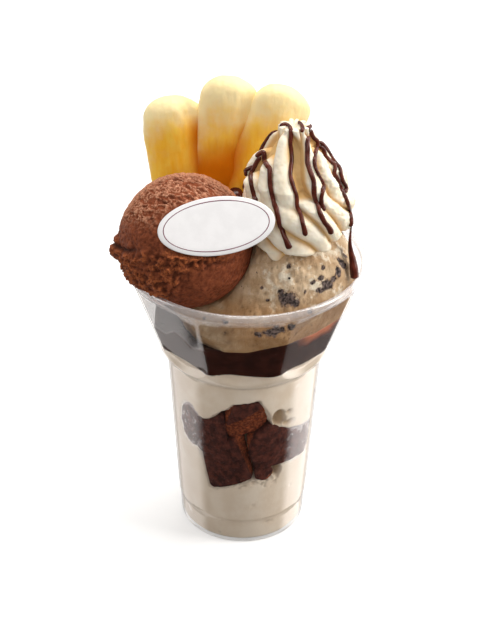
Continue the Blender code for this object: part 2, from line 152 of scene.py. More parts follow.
def ringPiece(name, rings, material, masks=None):  # rings run upwards, and turn left seen from above
    rows, columns = rings.shape[:2]
    points = np.concatenate([rings.reshape(-1, 3), [rings[0].mean(0)], [rings[-1].mean(0)]])
    spread = {
        mask: np.concatenate([values.ravel(), [values[0].mean()], [values[-1].mean()]])
        for mask, values in (masks or {}).items()
    }
    return newPiece(name, points, ringFaces(rows, columns), material, spread)


def joinedRings(name, bodies, material):  # several closed bodies in one piece
    points, faces, start = [], [], 0
    for rings in bodies:
        rows, columns = rings.shape[:2]
        points += [rings.reshape(-1, 3), rings[0].mean(0)[None], rings[-1].mean(0)[None]]
        faces += [tuple(start + corner for corner in face) for face in ringFaces(rows, columns)]
        start += rows * columns + 2
    return newPiece(name, np.concatenate(points), faces, material)


def ballDirections(rows, columns):
    tilt = (np.arange(rows) + 0.5) / rows * math.pi - math.pi / 2
    turn = roundTurn(columns)
    flat = np.cos(tilt)[:, None]
    return stacked(flat * np.cos(turn), flat * np.sin(turn), np.sin(tilt)[:, None])


def tube(path, widths, outward, columns, squash):  # rings round a path, flattened against what it lies on
    ahead = np.gradient(path, axis=0)
    ahead /= np.linalg.norm(ahead, axis=1)[:, None]
    side = np.cross(ahead, outward)
    side /= np.linalg.norm(side, axis=1)[:, None] + 1e-9
    out = np.cross(side, ahead)
    turn = roundTurn(columns)
    across = side[:, None] * np.cos(turn)[None, :, None]
    upright = out[:, None] * np.sin(turn)[None, :, None] * squash
    return path[:, None] + (across + upright) * widths[:, None, None]


# Shader maths: a socket with the arithmetic that the masks use


class Wire:
    def __init__(self, tree, socket):
        self.tree = tree
        self.socket = socket

    def maths(self, operation, a, b):
        node = self.tree.nodes.new("ShaderNodeMath")
        node.operation = operation
        for entry, value in zip(node.inputs, (a, b)):
            plug(self.tree, entry, value)
        return Wire(self.tree, node.outputs[0])

    def __add__(self, other):
        return self.maths("ADD", self, other)

    def __sub__(self, other):
        return self.maths("SUBTRACT", self, other)

    def __rsub__(self, other):
        return self.maths("SUBTRACT", other, self)

    def __mul__(self, other):
        return self.maths("MULTIPLY", self, other)

    def __pow__(self, other):
        return self.maths("POWER", self, other)

    __radd__ = __add__
    __rmul__ = __mul__


def plug(tree, entry, value):
    if isinstance(value, Wire):
        tree.links.new(value.socket, entry)
    elif isinstance(value, tuple) and len(value) == 3 and entry.type == "RGBA":
        entry.default_value = (*value, 1.0)
    else:
        entry.default_value = value


class Finish:
    # one material, or the world, and the nodes that make it
    def __init__(self, name, kind="materials"):
        self.block = getattr(bpy.data, kind).new(name)
        self.block.use_nodes = True
        self.tree = self.block.node_tree
        self.tree.nodes.clear()

    def node(self, kind, settings=None, sockets=None, output=0):
        node = self.tree.nodes.new(kind)
        for setting, value in (settings or {}).items():
            setattr(node, setting, value)
        for entry, value in (sockets or {}).items():
            plug(self.tree, node.inputs[entry], value)
        return Wire(self.tree, node.outputs[output]) if node.outputs else node

    def place(self):
        return self.node("ShaderNodeTexCoord", output="Object")

    def stretched(self, scale):
        return self.node("ShaderNodeMapping", None, {"Vector": self.place(), "Scale": scale})

    def axis(self, vector, name):
        return self.node("ShaderNodeSeparateXYZ", None, {0: vector}, name)

    def ray(self, kind):  # 1 where this kind of ray looks
        return self.node("ShaderNodeLightPath", output=kind)

    def mixture(self, share, a, b):  # of two shaders
        return self.node("ShaderNodeMixShader", None, {0: share, 1: a, 2: b})

    def grain(self, size, detail=3.0, roughness=0.55, where=None):  # noise whose lumps are this many mm
        sockets = {"Vector": where or self.place(), "Scale": 1.0 / (size * mm)}
        return self.node("ShaderNodeTexNoise", None, {**sockets, "Detail": detail, "Roughness": roughness})

    def pits(self, size):  # distance to the nearest of scattered points
        sockets = {"Vector": self.place(), "Scale": 1.0 / (size * mm)}
        return self.node("ShaderNodeTexVoronoi", None, sockets, "Distance")

    def mask(self, name):  # a value that the mesh carries
        return self.node("ShaderNodeAttribute", {"attribute_name": name}, output="Fac")

    def between(self, low, high, value, top=1.0):  # 0 at low, and top at high, smoothly
        settings = {"interpolation_type": "SMOOTHSTEP"}
        return self.node("ShaderNodeMapRange", settings, {0: value, 1: low, 2: high, 3: 0.0, 4: top})

    def blend(self, a, b, share, way="MIX"):
        settings = {"data_type": "RGBA", "blend_type": way}
        return self.node("ShaderNodeMix", settings, {0: share, 6: a, 7: b}, 2)

    def bump(self, height, depth, strength=1.0):  # depth in mm for a height of 1
        sockets = {"Height": height, "Distance": depth * mm, "Strength": strength}
        return self.node("ShaderNodeBump", None, sockets)

    def surface(self, **sockets):
        names = {name.replace("_", " "): value for name, value in sockets.items()}
        return self.finished(self.node("ShaderNodeBsdfPrincipled", None, names))

    def finished(self, shader):
        self.node("ShaderNodeOutputMaterial", None, {"Surface": shader})
        return self.block


# Camera, as it stood for the photograph

view = {
    "place": (-0.79, -529.5, 428.3),
    "right": (0.99991, 0.00847, 0.01019),
    "up": (-0.01313, 0.53066, 0.84748),
    "ahead": (-0.00177, 0.84754, -0.53072),
    "lens": 85.0,
    "sensor": 36.0,
    "clip": (0.05, 20.0),
    "pixels": (480, 640),
    "outside": 70.0,  # level rays that look for a piece start this far from its middle
}


def setUpCamera():
    data = bpy.data.cameras.new("camera")
    data.lens = view["lens"]
    data.sensor_width = view["sensor"]
    data.clip_start, data.clip_end = view["clip"]
    camera = bpy.data.objects.new("camera", data)
    bpy.context.scene.collection.objects.link(camera)
    axes = Matrix((view["right"], view["up"], -Vector(view["ahead"]))).transposed().to_4x4()
    camera.matrix_world = Matrix.Translation(Vector(view["place"]) * mm) @ axes
    bpy.context.scene.camera = camera


# Room: a white table, big soft lamps, and pale walls at both sides that the cup mirrors

room = {
    "tableReach": 6000.0,
    "tableDrop": 0.2,  # how far the table lies below the foot
    "tableColour": (0.78, 0.78, 0.78),
    "tableGlow": 0.42,
    "tableBounce": (0.52, 0.512, 0.50),  # how much of its light the table throws back on the sundae
    "backdrop": 1.0,
    "fillPower": 0.19,
    "tint": (1.0, 0.960, 0.935),
    # what the cup mirrors: the dark front, the walls at either side, what lies low there, and the back
    "mirrorDark": 0.012,
    "mirrorLeft": 1.65,
    "mirrorRight": 2.4,
    "lowLeft": 0.80,
    "lowRight": 0.13,
    "mirrorBack": 0.72,
    # how far round from the viewer's side each wall begins, as a cosine, and how it fades in, low and high
    "leftEdge": 0.27,
    "rightEdge": 0.12,
    "lowFade": (-0.03, 0.13),
    "highFade": (-0.14, 0.27),
    # where the low part and the back begin and are full, by direction
    "low": (-0.715, -0.745),
    "back": (0.72, 0.86),
    # the low light at the left ends along two slanting lines: (slope, edge of the dark, edge of the light)
    "besideLine": (0.105, 0.3900, 0.3922),
    "underLine": (3.92, -2.442, -2.430),
    "lampTarget": (0.0, 0.0, 100.0),
}

# name: (place, size, watts, colour), each turned to the middle of the sundae
lamps = {
    "topLamp": ((90.0, 240.0, 1120.0), (600.0, 600.0), 9.5, (1.0, 0.985, 0.955)),
    "leftLamp": ((-950.0, -150.0, 560.0), (500.0, 600.0), 2.4, (1.0, 0.985, 0.965)),
    "rightLamp": ((900.0, -130.0, 640.0), (450.0, 600.0), 9.0, (1.0, 0.985, 0.955)),
    "frontLamp": ((-60.0, -700.0, 760.0), (420.0, 260.0), 1.85, (1.0, 0.985, 0.965)),
}


def buildTable():
    reach, drop = room["tableReach"], room["tableDrop"]
    corners = np.array([(-1, -1, 0), (1, -1, 0), (1, 1, 0), (-1, 1, 0)]) * reach - (0.0, 0.0, drop)
    white = Finish("white_table")
    glow = {"Base Color": room["tableColour"], "Roughness": 0.9, "Emission Color": (1.0, 1.0, 1.0)}
    shown = white.node("ShaderNodeBsdfPrincipled", None, {**glow, "Emission Strength": room["tableGlow"]})
    bounced = white.node("ShaderNodeBsdfDiffuse", None, {"Color": room["tableBounce"]})
    white.finished(white.mixture(white.ray("Is Camera Ray"), bounced, shown))
    table = newPiece("table", corners, [(0, 1, 2, 3)], white.block)
    table.visible_glossy = False


def buildLamps():
    target = Vector(room["lampTarget"]) * mm
    for name, (place, size, watts, colour) in lamps.items():
        data = bpy.data.lights.new(name, "AREA")
        data.shape = "RECTANGLE"
        data.size, data.size_y = size[0] * mm, size[1] * mm
        data.energy = watts
        data.color = colour
        lamp = bpy.data.objects.new(name, data)
        bpy.context.scene.collection.objects.link(lamp)
        lamp.location = Vector(place) * mm
        lamp.rotation_euler = (target - lamp.location).to_track_quat("-Z", "Y").to_euler()


def buildWorld():
    sky = Finish("studio", "worlds")
    bpy.context.scene.world = sky.block
    direction = sky.node("ShaderNodeTexCoord", output="Generated")
    flat = sky.node("ShaderNodeVectorMath", {"operation": "MULTIPLY"}, {0: direction, 1: (1.0, 1.0, 0.0)})
    flat = sky.node("ShaderNodeVectorMath", {"operation": "NORMALIZE"}, {0: flat})
    toRight = sky.node("ShaderNodeMath", {"operation": "GREATER_THAN"}, {0: sky.axis(flat, "X"), 1: 0.0})
    turned = sky.axis(flat, "Y")
    low = sky.between(*room["low"], sky.axis(direction, "Z"))  # the part that only the funnel mirrors
    # the walls at both sides, with the slanting end of the light low at the left
    begun = turned + toRight * (room["rightEdge"] - room["leftEdge"]) + room["leftEdge"]
    wall = sky.between(*room["lowFade"], begun) * low + sky.between(*room["highFade"], begun) * (1.0 - low)
    sideways, back = sky.axis(direction, "X"), sky.axis(direction, "Y")
    slope, dark, light = room["besideLine"]
    beside = sky.between(dark, light, back - sideways * slope)
    slope, dark, light = room["underLine"]
    under = sky.between(dark, light, sideways * slope - back)
    wall = wall * (1.0 - low * (1.0 - toRight) * (1.0 - beside) * (1.0 - under))
    # how bright they are
    upperPower = toRight * (room["mirrorRight"] - room["mirrorLeft"]) + room["mirrorLeft"]
    lowerPower = toRight * (room["lowRight"] - room["lowLeft"]) + room["lowLeft"]
    power = low * (lowerPower - upperPower) + upperPower
    power = sky.between(*room["back"], turned) * (room["mirrorBack"] - power) + power
    mirrored = wall * (power - room["mirrorDark"]) + room["mirrorDark"]
    seen, glossy = sky.ray("Is Camera Ray"), sky.ray("Is Glossy Ray")
    unseen = glossy * mirrored + (1.0 - glossy) * room["fillPower"]
    strength = seen * room["backdrop"] + (1.0 - seen) * unseen
    tint = sky.blend(room["tint"], (1.0, 1.0, 1.0), seen)
    shown = sky.node("ShaderNodeBackground", None, {"Color": tint, "Strength": strength})
    sky.node("ShaderNodeOutputWorld", None, {"Surface": shown})


def buildRoom():
    buildTable()
    buildLamps()
    buildWorld()
    bpy.context.scene.view_settings.view_transform = "Standard"
    bpy.context.scene.view_settings.look = "None"


setUpCamera()
buildRoom()
print("camera and room ready")


# Cup: a turned profile whose funnel is pressed into eight flat panels

cup = {
    "panels": 8,
    "columns": 192,
    "wall": 0.8,
    "panelFoot": 85.5,
    "arch": 5.0,
    "panelBlend": 4.0,
    "panelTop": (120.5, 124.2),
    # (radius, height) down the outside, of the rolled rim and of the wall, and up the inside of the rim
    "rimOutside": [(48.3, 128.3), (49.0, 127.2), (49.0, 125.6), (48.5, 124.6)],
    "wallOutside": [
        (47.9, 124.2),
        (47.0, 121.5),
        (40.5, 102.8),
        (36.9, 92.5),
        (35.4, 88.0),
        (33.6, 85.6),
        (32.6, 85.0),
        (32.0, 84.0),
        (27.8, 12.6),
        (27.2, 11.6),
        (26.8, 1.2),
        (26.2, 0.0),
    ],
    "rimInside": [(46.9, 125.8), (46.6, 127.2), (47.2, 128.3)],
    "floorInside": [(0.4, 1.2), (25.2, 1.2), (26.2, 2.4)],
    "footMiddle": (0.4, 0.0),
    "softening": (2, 0.22),  # how many times the profile's corners are cut, and by what share
    "step": 1.6,
    "crease": (0.9965, 0.012),  # where the panels' corners round off, and how widely, as shares of the radius
    "unpressed": 20.0,  # radius under which the floor stays round
    "wallTop": 124.0,
    "milkyRim": (123.8, 125.4),  # heights between which the clear wall turns milky
    "sunk": 0.15,  # how far the food reaches into the wall
}
wallStations = sorted((height, radius) for radius, height in cup["wallOutside"])


def panelShare(turn, height):
    half = math.pi / cup["panels"]
    foot = cup["panelFoot"] + cup["arch"] * (turn / half) ** 2
    return eased(foot, foot + cup["panelBlend"], height) * (1.0 - eased(*cup["panelTop"], height))


def pressed(bearing, height, radius):  # the radius here once the panels are pressed
    half = math.pi / cup["panels"]
    turn = (bearing + half) % (2 * half) - half
    flat = radius * math.cos(half) / np.cos(turn)
    corner, width = cup["crease"]
    creased = merged(flat, radius * corner, radius * width)
    return mixed(radius, creased, panelShare(turn, height) * (radius > cup["unpressed"]))


def wallInside(bearing, height):  # inner radius of the wall
    return pressed(bearing, height, along(wallStations, height) - cup["wall"])


def softened(points, times, share):  # cuts the corners of a line, and keeps its ends
    for _ in range(times):
        near, far = points[:-1], points[1:]
        cut = np.stack([mixed(near, far, share), mixed(far, near, share)], axis=1).reshape(-1, 2)
        points = np.concatenate([points[:1], cut[1:-1], points[-1:]])
    return points


def spaced(points, step):  # adds points on long stretches
    rows = []
    for (r0, z0), (r1, z1) in zip(points, points[1:]):
        count = max(1, round(math.hypot(r1 - r0, z1 - z0) / step))
        rows += [(mixed(r0, r1, i / count), mixed(z0, z1, i / count)) for i in range(count)]
    return np.array([*rows, tuple(points[-1])])


def dress(piece, slot, *nodes):
    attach(piece, "root")
    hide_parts(*nodes)
    return piece


def cupMaterial():
    # clear thin plastic: see-through face on, a little greyer along its edges, and mirroring the room
    finish = Finish("clear_plastic")
    rim = finish.mask("rim")
    clear = finish.node("ShaderNodeBsdfTransparent", None, {"Color": (0.985, 0.985, 0.985)})
    grey = finish.node("ShaderNodeBsdfTransparent", None, {"Color": (0.96, 0.95, 0.95)})
    gloss = {"Color": (1.0, 1.0, 1.0), "Roughness": rim * 0.16 + 0.04}
    shine = finish.node("ShaderNodeBsdfAnisotropic", None, gloss)
    milky = finish.node("ShaderNodeBsdfDiffuse", None, {"Color": (0.82, 0.79, 0.80)})
    facing = finish.node("ShaderNodeLayerWeight", None, {"Blend": 0.5}, "Facing")
    body = finish.mixture(facing**3.0, clear, grey)
    body = finish.mixture(facing**5.0 * 0.60 + 0.105, body, shine)
    return finish.finished(finish.mixture(rim * 0.24 + facing**6.0 * 0.45, body, milky))


def buildCup():
    outer = np.array(cup["rimOutside"] + cup["wallOutside"])
    inner = np.array(cup["wallOutside"][-3::-1]) - (cup["wall"], 0.0)
    profile = np.concatenate([cup["floorInside"], inner, cup["rimInside"], outer, [cup["footMiddle"]]])
    profile = spaced(softened(profile, *cup["softening"]), cup["step"])[::-1]
    bearing = roundTurn(cup["columns"])
    radius, height = (np.repeat(profile[:, axis : axis + 1], cup["columns"], axis=1) for axis in (0, 1))
    rings = atBearing(bearing, pressed(bearing, height, radius), height)
    piece = ringPiece("clearCup", rings, cupMaterial(), {"rim": eased(*cup["milkyRim"], height)})
    dress(piece, "clear_plastic", "cup")


buildCup()
print("cup ready")


# Brownie cubes against the wall

brownies = {
    "depth": 14.5,
    "grown": 0.45,  # how far each cube reaches under the cream round it
    "columns": 96,
    # outlines on the wall: (distance round it from the front, height)
    "shown": {
        "brownie_front_top": [
            (-8.4, 69.3), (-4.5, 74.4), (6.4, 76.1), (11.5, 67.0), (11.3, 64.0), (6.7, 60.1), (1.1, 58.3),
            (-6.5, 55.9),
        ],
        "brownie_front_left": [
            (-30.1, 65.2), (-27.0, 68.2), (-23.6, 68.3), (-20.6, 64.6), (-17.5, 63.6), (-14.6, 64.7),
            (-10.6, 68.6), (-8.2, 69.5), (-7.4, 62.6), (-6.9, 55.3), (-8.7, 49.5), (-18.0, 45.8),
            (-20.2, 48.6), (-24.0, 47.6), (-28.9, 50.0), (-31.5, 56.6),
        ],
        "brownie_front_low": [
            (-18.3, 47.3), (-8.0, 54.5), (-5.0, 56.4), (1.0, 57.4), (2.4, 50.0), (4.6, 42.0), (5.2, 38.0),
            (2.8, 35.3), (-8.6, 30.4), (-12.5, 28.6), (-14.3, 29.3), (-16.6, 39.7),
        ],
        "brownie_front_right": [
            (0.6, 57.0), (6.7, 60.1), (11.7, 63.0), (18.7, 59.2), (26.6, 54.2), (31.0, 45.0), (29.0, 39.8),
            (17.0, 41.0), (5.8, 41.3), (3.0, 47.4),
        ],
        "brownie_low_right": [
            (4.9, 40.7), (11.5, 41.2), (13.1, 38.8), (12.8, 34.2), (10.0, 34.1), (5.7, 35.9),
        ],
    },
    # those that the photograph hides: (bearing and height of the middle, turn, width, height), in degrees
    # and millimetres
    "hidden": {
        "brownie_right": (55, 47.5, -14, 16.5, 15.5),
        "brownie_back_right": (100, 59.0, 12, 20.0, 18.0),
        "brownie_back": (143, 50.0, -9, 19.0, 19.0),
        "brownie_back_left": (188, 59.0, 7, 20.5, 17.5),
        "brownie_left": (240, 52.0, -12, 19.0, 19.0),
    },
    # cut faces that fall back from the wall: (direction across, direction up, where it starts, slope)
    "cuts": {
        "brownie_front_top": [(0.52, -0.85, -4.2, 0.26), (-0.95, 0.3, 8.0, 0.5)],
        "brownie_front_low": [(0.93, 0.36, 6.6, 0.9)],
        "brownie_front_right": [(-0.95, 0.2, 11.5, 0.8)],
        "brownie_low_right": [(0.6, -0.8, 1.5, 0.4)],
    },
    # corners and mid-sides of a hidden cube, as shares of its half width and half height
    "corners": [(-1, -1), (0, -1.05), (1, -1), (1.05, 0), (1, 1), (0, 1.04), (-1, 1), (-1.05, 0)],
    "half": 0.48,
    # rings from the inner end to the middle of the face: (share of the outline, share of the depth)
    "rings": [(0.15, 1.0), (0.55, 1.0), (0.86, 0.99), (0.97, 0.94)]
    + [(1.0, level) for level in np.linspace(0.88, 0.14, 14)]
    + [(1.0, 0.07), (0.985, 0.03), (0.955, 0.008)]
    + [(share, 0.0) for share in np.linspace(0.85, 0.05, 15)],
}


def cubeOutline(bearing, height, turn, width, tall):
    start = math.radians(bearing if bearing <= 180 else bearing - 360) * along(wallStations, height)
    roll = math.radians(turn)
    corners = np.array(brownies["corners"]) * (width, tall) * brownies["half"]
    across = corners[:, 0] * math.cos(roll) - corners[:, 1] * math.sin(roll)
    up = corners[:, 0] * math.sin(roll) + corners[:, 1] * math.cos(roll)
    return np.stack([start + across, height + up], axis=-1)


outlines = {name: np.array(points) for name, points in brownies["shown"].items()}
outlines.update({name: cubeOutline(*row) for name, row in brownies["hidden"].items()})


def outlineReach(outline, turn):  # distance from the middle of an outline to its edge, by direction
    middle = outline.mean(0)
    start = outline - middle
    edge = np.roll(start, -1, axis=0) - start
    way = np.stack([np.cos(turn), np.sin(turn)], axis=-1)[:, None]
    det = way[..., 0] * -edge[:, 1] + way[..., 1] * edge[:, 0]
    far = (start[:, 0] * -edge[:, 1] + start[:, 1] * edge[:, 0]) / det
    share = (way[..., 0] * start[:, 1] - way[..., 1] * start[:, 0]) / det
    reach = np.where((share >= -1e-6) & (share <= 1 + 1e-6) & (far > 0), far, 0.0).max(1)
    for _ in range(2):  # rounds the corners a little
        reach = (np.roll(reach, 1) + 2 * reach + np.roll(reach, -1)) / 4
    return middle, reach


def onWall(arc, height, depth):  # a place on the wall's inside, or this deep within it
    flat = along(wallStations, height) - cup["wall"]
    bearing = arc / flat
    reach = wallInside(bearing, height) + cup["sunk"] - depth
    return atBearing(bearing, reach, height)


def brownieMaterial():
    finish = Finish("brownie_crumb")
    fine = finish.grain(0.9, 5.0, 0.65)
    patches = finish.grain(3.6, 2.0)
    crumb = finish.mask("crumb")
    mottled = finish.between(0.38, 0.66, finish.grain(2.6, 5.0, 0.6))
    crust = finish.blend((0.060, 0.0195, 0.0155), (0.135, 0.040, 0.027), mottled)
    crust = finish.blend(crust, (0.24, 0.082, 0.050), finish.between(0.58, 0.74, fine, 0.7))
    # cut crumb is redder than the crust; this orange colour also paints the brighter light on the cut faces,
    # and a painted highlight along each cube's edge
    cut = finish.blend((0.15, 0.036, 0.016), (0.50, 0.13, 0.048), finish.between(0.40, 0.72, fine))
    share = finish.between(0.30, 0.95, crumb + (patches - 0.5) * 0.8)
    colour = finish.blend(crust, cut, share)
    dents = finish.between(0.0, 0.55, finish.pits(1.3))
    height = fine * 0.9 + dents * 0.25
    return finish.surface(
        Base_Color=colour, Roughness=0.6, Specular_IOR_Level=0.10, Normal=finish.bump(height, 0.45, 0.9)
    )


def buildBrownies(material):
    turn = roundTurn(brownies["columns"])
    share, level = (np.array(column)[:, None] for column in zip(*brownies["rings"]))
    for name, outline in outlines.items():
        middle, reach = outlineReach(outline, turn)
        reach = reach + brownies["grown"]
        across = share * reach * np.cos(turn)
        up = share * reach * np.sin(turn)
        depth = np.broadcast_to(level * brownies["depth"], across.shape).copy()
        shrink = 1.0 - 0.035 * depth  # the sides draw in towards the middle of the cup
        here = stacked(across * shrink, up, depth)
        crumb = np.zeros_like(across)
        for sideways, upwards, begin, slope in brownies["cuts"].get(name, []):
            past = np.maximum(across * sideways + up * upwards - begin, 0.0)
            depth += past * slope
            crumb = np.maximum(crumb, eased(0.1, 1.2, past))
        # each cube's edge takes some crumb colour, partly a painted highlight along the edge
        crumb = np.maximum(crumb, 0.35 * eased(0.93, 1.0, share))
        seed = float(middle[1])
        rough = lumps(here, 3.2, seed) * 0.55 + lumps(here, 1.1, seed + 3.0, 3) * 0.45
        pit = eased(0.30, 0.05, bubbles(here, 2.2, seed)) * 0.6
        depth = np.maximum(depth + np.maximum(rough, -0.1) * 0.8 + pit, 0.0)
        wide = 1.0 - np.where(share > 0.86, np.abs(rough) * 0.03 + pit * 0.02, 0.0)
        rings = onWall(middle[0] + across * wide * (1.0 - 0.020 * depth), middle[1] + up * wide, depth)
        dress(ringPiece(name + "_cube", rings, material, {"crumb": crumb}), "brownie_crumb", name)


# Whipped cream in the cup: pressed on the wall, and drawn back round the cubes

cream = {
    "columns": 400,
    "foot": 1.1,
    "split": 54.0,
    "top": 91.0,
    "deep": 7.5,  # how far the cream draws back behind a cube
    # where the cream stands back from the wall: (round the wall, height, half width, half height, depth)
    "hollows": [
        (15.4, 65.6, 3.3, 4.8, 4.5),
        (20.5, 61.5, 3.2, 2.0, 2.4),
        (14.8, 38.6, 2.4, 4.4, 4.5),
        (20.2, 67.5, 2.0, 1.5, 1.6),
    ],
    "floorCorner": (2.4, 1.1, 1.3),  # heights between which the foot is drawn in, and by how much
    "lap": (0.25, 0.4),  # how far the upper layer reaches into the lower one, and into the fudge
    "rows": (118, 86),
    "capRows": 10,
}


def splitHeight(bearing):
    ring = atBearing(bearing, 30.0, 0.0)
    return cream["split"] + 1.6 * lumps(ring, 14.0, 3.0) + 0.5 * lumps(ring, 4.0, 5.0)


def creamTop(x, y):
    return cream["top"] + 1.2 * lumps(stacked(x, y, 0.0), 13.0, 8.0)


def creamEdge(bearing):  # height of the cream's top at the wall
    edge = atBearing(bearing, along(wallStations, cream["top"]), 0.0)
    return creamTop(edge[:, 0], edge[:, 1])


def outlineGap(across, height, outline):  # signed distance to an outline, below zero inside it
    near = np.full(across.shape, 1e9)
    inside = np.zeros(across.shape, bool)
    for (x0, y0), (x1, y1) in zip(outline, np.roll(outline, -1, axis=0)):
        ex, ey = x1 - x0, y1 - y0
        t = np.clip(((across - x0) * ex + (height - y0) * ey) / (ex * ex + ey * ey), 0.0, 1.0)
        near = np.minimum(near, np.hypot(across - x0 - t * ex, height - y0 - t * ey))
        crosses = (y0 > height) != (y1 > height)
        rise = y1 - y0 if abs(y1 - y0) > 1e-9 else 1e-9
        inside ^= crosses & (across < (height - y0) / rise * ex + x0)
    return np.where(inside, -near, near)


def creamWall(bearing, height):
    flat = along(wallStations, height) - cup["wall"]
    turn = aside(bearing)
    across = turn * flat
    here = atBearing(turn, flat, height)
    ragged = lumps(here, 3.0, 1.0) * 0.55 + lumps(here, 1.2, 6.0) * 0.30
    gaps = []
    for outline in outlines.values():
        laps = [outlineGap(across + lap * flat, height, outline) for lap in (-2 * math.pi, 0.0, 2 * math.pi)]
        gaps.append(np.min(laps, axis=0))
    gap, second = np.sort(gaps, axis=0)[:2]
    # the cream crumbles under the cubes, right of the middle of the front
    crumbly = eased(5.0, 1.0, gap) * eased(41.0, 33.0, height)
    crumbly *= eased(-6.0, 1.0, across) * eased(24.0, 12.0, across)
    gap = merged(gap, 1.5 * (gap + second - 2.6), 0.6) + ragged  # none between cubes that meet
    dip = cream["deep"] * eased(-0.2, -3.2, gap) + 1.1 * eased(1.3, -0.3, gap)
    # painted shade: the cream's colour is darkened where it draws back from the wall round the cubes, and in
    # the hollows
    shade = dip * 0.4
    dip += crumbly * np.maximum(lumps(here, 1.5, 4.0, 3), -0.3) * 2.0
    shadedHollow = np.zeros_like(dip)
    for x, y, wide, tall, deep in cream["hollows"]:
        reach = np.hypot((across - x) / wide, (height - y) / tall) + ragged * 0.25
        shadedHollow = np.maximum(shadedHollow, deep * eased(1.15, 0.45, reach))
    dimples = np.maximum(lumps(here, 6.0, 2.0, 2) - 0.62, 0.0) * 1.2
    reach = wallInside(bearing, height) + cup["sunk"] - np.maximum(dip, shadedHollow) - dimples
    return reach, np.maximum(shade, shadedHollow)


def creamMaterial():
    finish = Finish("whipped_cream")
    clouds = finish.grain(9.0, 3.0)
    fine = finish.grain(1.1, 4.0)
    shadedHollow = finish.mask("shadedHollow")
    colour = finish.blend((0.79, 0.665, 0.53), (0.85, 0.745, 0.62), finish.between(0.35, 0.68, clouds))
    # painted shade, tan, where the cream draws back and in the hollows
    colour = finish.blend(colour, (0.62, 0.48, 0.33), finish.between(0.3, 2.6, shadedHollow, 0.9))
    relief = finish.bump(fine * 0.6 + clouds, 0.25, 0.6)
    return finish.surface(Base_Color=colour, Roughness=0.5, Specular_IOR_Level=0.10, Normal=relief)


def capRings(ring, count, lift):  # shrinks a ring towards its middle, at the heights that lift gives
    shares = np.linspace(1.0, 0.04, count)[1:, None]
    x, y = shares * ring[:, 0], shares * ring[:, 1]
    return stacked(x, y, lift(x, y))


def closedRings(rings, mask, counts, lifts):  # adds the rings below and above, where the mask is 0
    under = capRings(rings[0], counts[0], lifts[0])[::-1]
    over = capRings(rings[-1], counts[1], lifts[1])
    return np.concatenate([under, rings, over]), np.pad(mask, ((len(under), len(over)), (0, 0)))


def buildCream(material):
    bearing = roundTurn(cream["columns"])
    split = splitHeight(bearing)
    down, up = cream["lap"]
    levels = [
        ("lowerCream", "cream_lower", np.full_like(bearing, cream["foot"]), split),
        ("upperCream", "cream_upper", split - down, creamEdge(bearing) + up),
    ]
    for (name, node, foot, top), rows in zip(levels, cream["rows"]):
        height = mixed(foot, top, np.linspace(0.0, 1.0, rows)[:, None])
        reach, shadedHollow = creamWall(bearing, height)
        if node == "cream_lower":  # the corner at the cup's floor is round
            begin, full, drawnIn = cream["floorCorner"]
            reach = reach - drawnIn * eased(begin, full, height)
        rings = atBearing(bearing, reach, height)
        caps = (cream["capRows"], cream["capRows"])
        rings, shadedHollow = closedRings(rings, shadedHollow, caps, (lambda *_: foot.mean(), lambda *_: top.mean()))
        dress(ringPiece(name, rings, material, {"shadedHollow": shadedHollow}), "whipped_cream", node)


# Fudge: a thick ring of sauce, pushed up the wall by the cookie scoop

fudge = {
    "columns": 320,
    "rows": 40,
    "capRows": (8, 30),
    "depth": 14.0,  # from the cream to about its upper edge
    "dip": 98.5,  # height of its top in the middle
    "reach": 40.0,
    # height on the wall by bearing from the front in degrees
    "rim": [
        (-180, 106.0),
        (-95, 104.0),
        (-58, 102.5),
        (-47, 109.5),
        (-40, 107.5),
        (-34, 104.2),
        (-20, 106.6),
        (0, 107.0),
        (16, 110.2),
        (30, 110.9),
        (55, 110.0),
        (95, 108.0),
        (180, 106.0),
    ],
}


def fudgeTop(x, y):
    wall = along(fudge["rim"], np.degrees(np.arctan2(x, -y)))
    climb = np.minimum(1.1, np.hypot(x, y) / fudge["reach"]) ** 2.2
    return mixed(fudge["dip"], wall, climb) + 0.35 * lumps(stacked(x, y, 0.0), 6.0, 2.0)


def fudgeMaterial():
    finish = Finish("fudge_sauce")
    cloud = finish.grain(6.0, 2.0)
    colour = finish.blend((0.034, 0.0080, 0.0045), (0.050, 0.0125, 0.0070), finish.between(0.35, 0.7, cloud))
    colour = finish.blend(colour, (0.62, 0.17, 0.06), finish.mask("thin"))
    return finish.surface(
        Base_Color=colour, Roughness=0.25, Specular_IOR_Level=0.16, Normal=finish.bump(cloud, 0.25, 0.7)
    )


def buildFudge():
    bearing = roundTurn(fudge["columns"])
    foot = creamEdge(bearing)
    edge = atBearing(bearing, wallInside(bearing, foot + fudge["depth"]), 0.0)
    top = fudgeTop(edge[:, 0], edge[:, 1])
    level = np.linspace(0.0, 1.0, fudge["rows"])[:, None]
    height = mixed(foot, top, level)
    reach = wallInside(bearing, height) + cup["sunk"] - 0.5 * eased(0.93, 1.0, level)
    rings = atBearing(bearing, reach, height)
    # thin, and so orange, where the ice cream has pushed it up at the right
    thin = eased(0.60, 1.0, level + 0.10 * lumps(rings, 4.0, 2.0))
    thin = thin * eased(0.50, 0.80, bearing) * eased(1.25, 1.0, bearing)
    rings, thin = closedRings(rings, thin, fudge["capRows"], (creamTop, fudgeTop))
    dress(ringPiece("fudgeLayer", rings, fudgeMaterial(), {"thin": thin}), "fudge_sauce", "fudge")


buildBrownies(brownieMaterial())
print("brownies ready")
buildCream(creamMaterial())
buildFudge()
print("cream and fudge ready")


# Oval card tag, square to the viewer, with a thin plain line round it

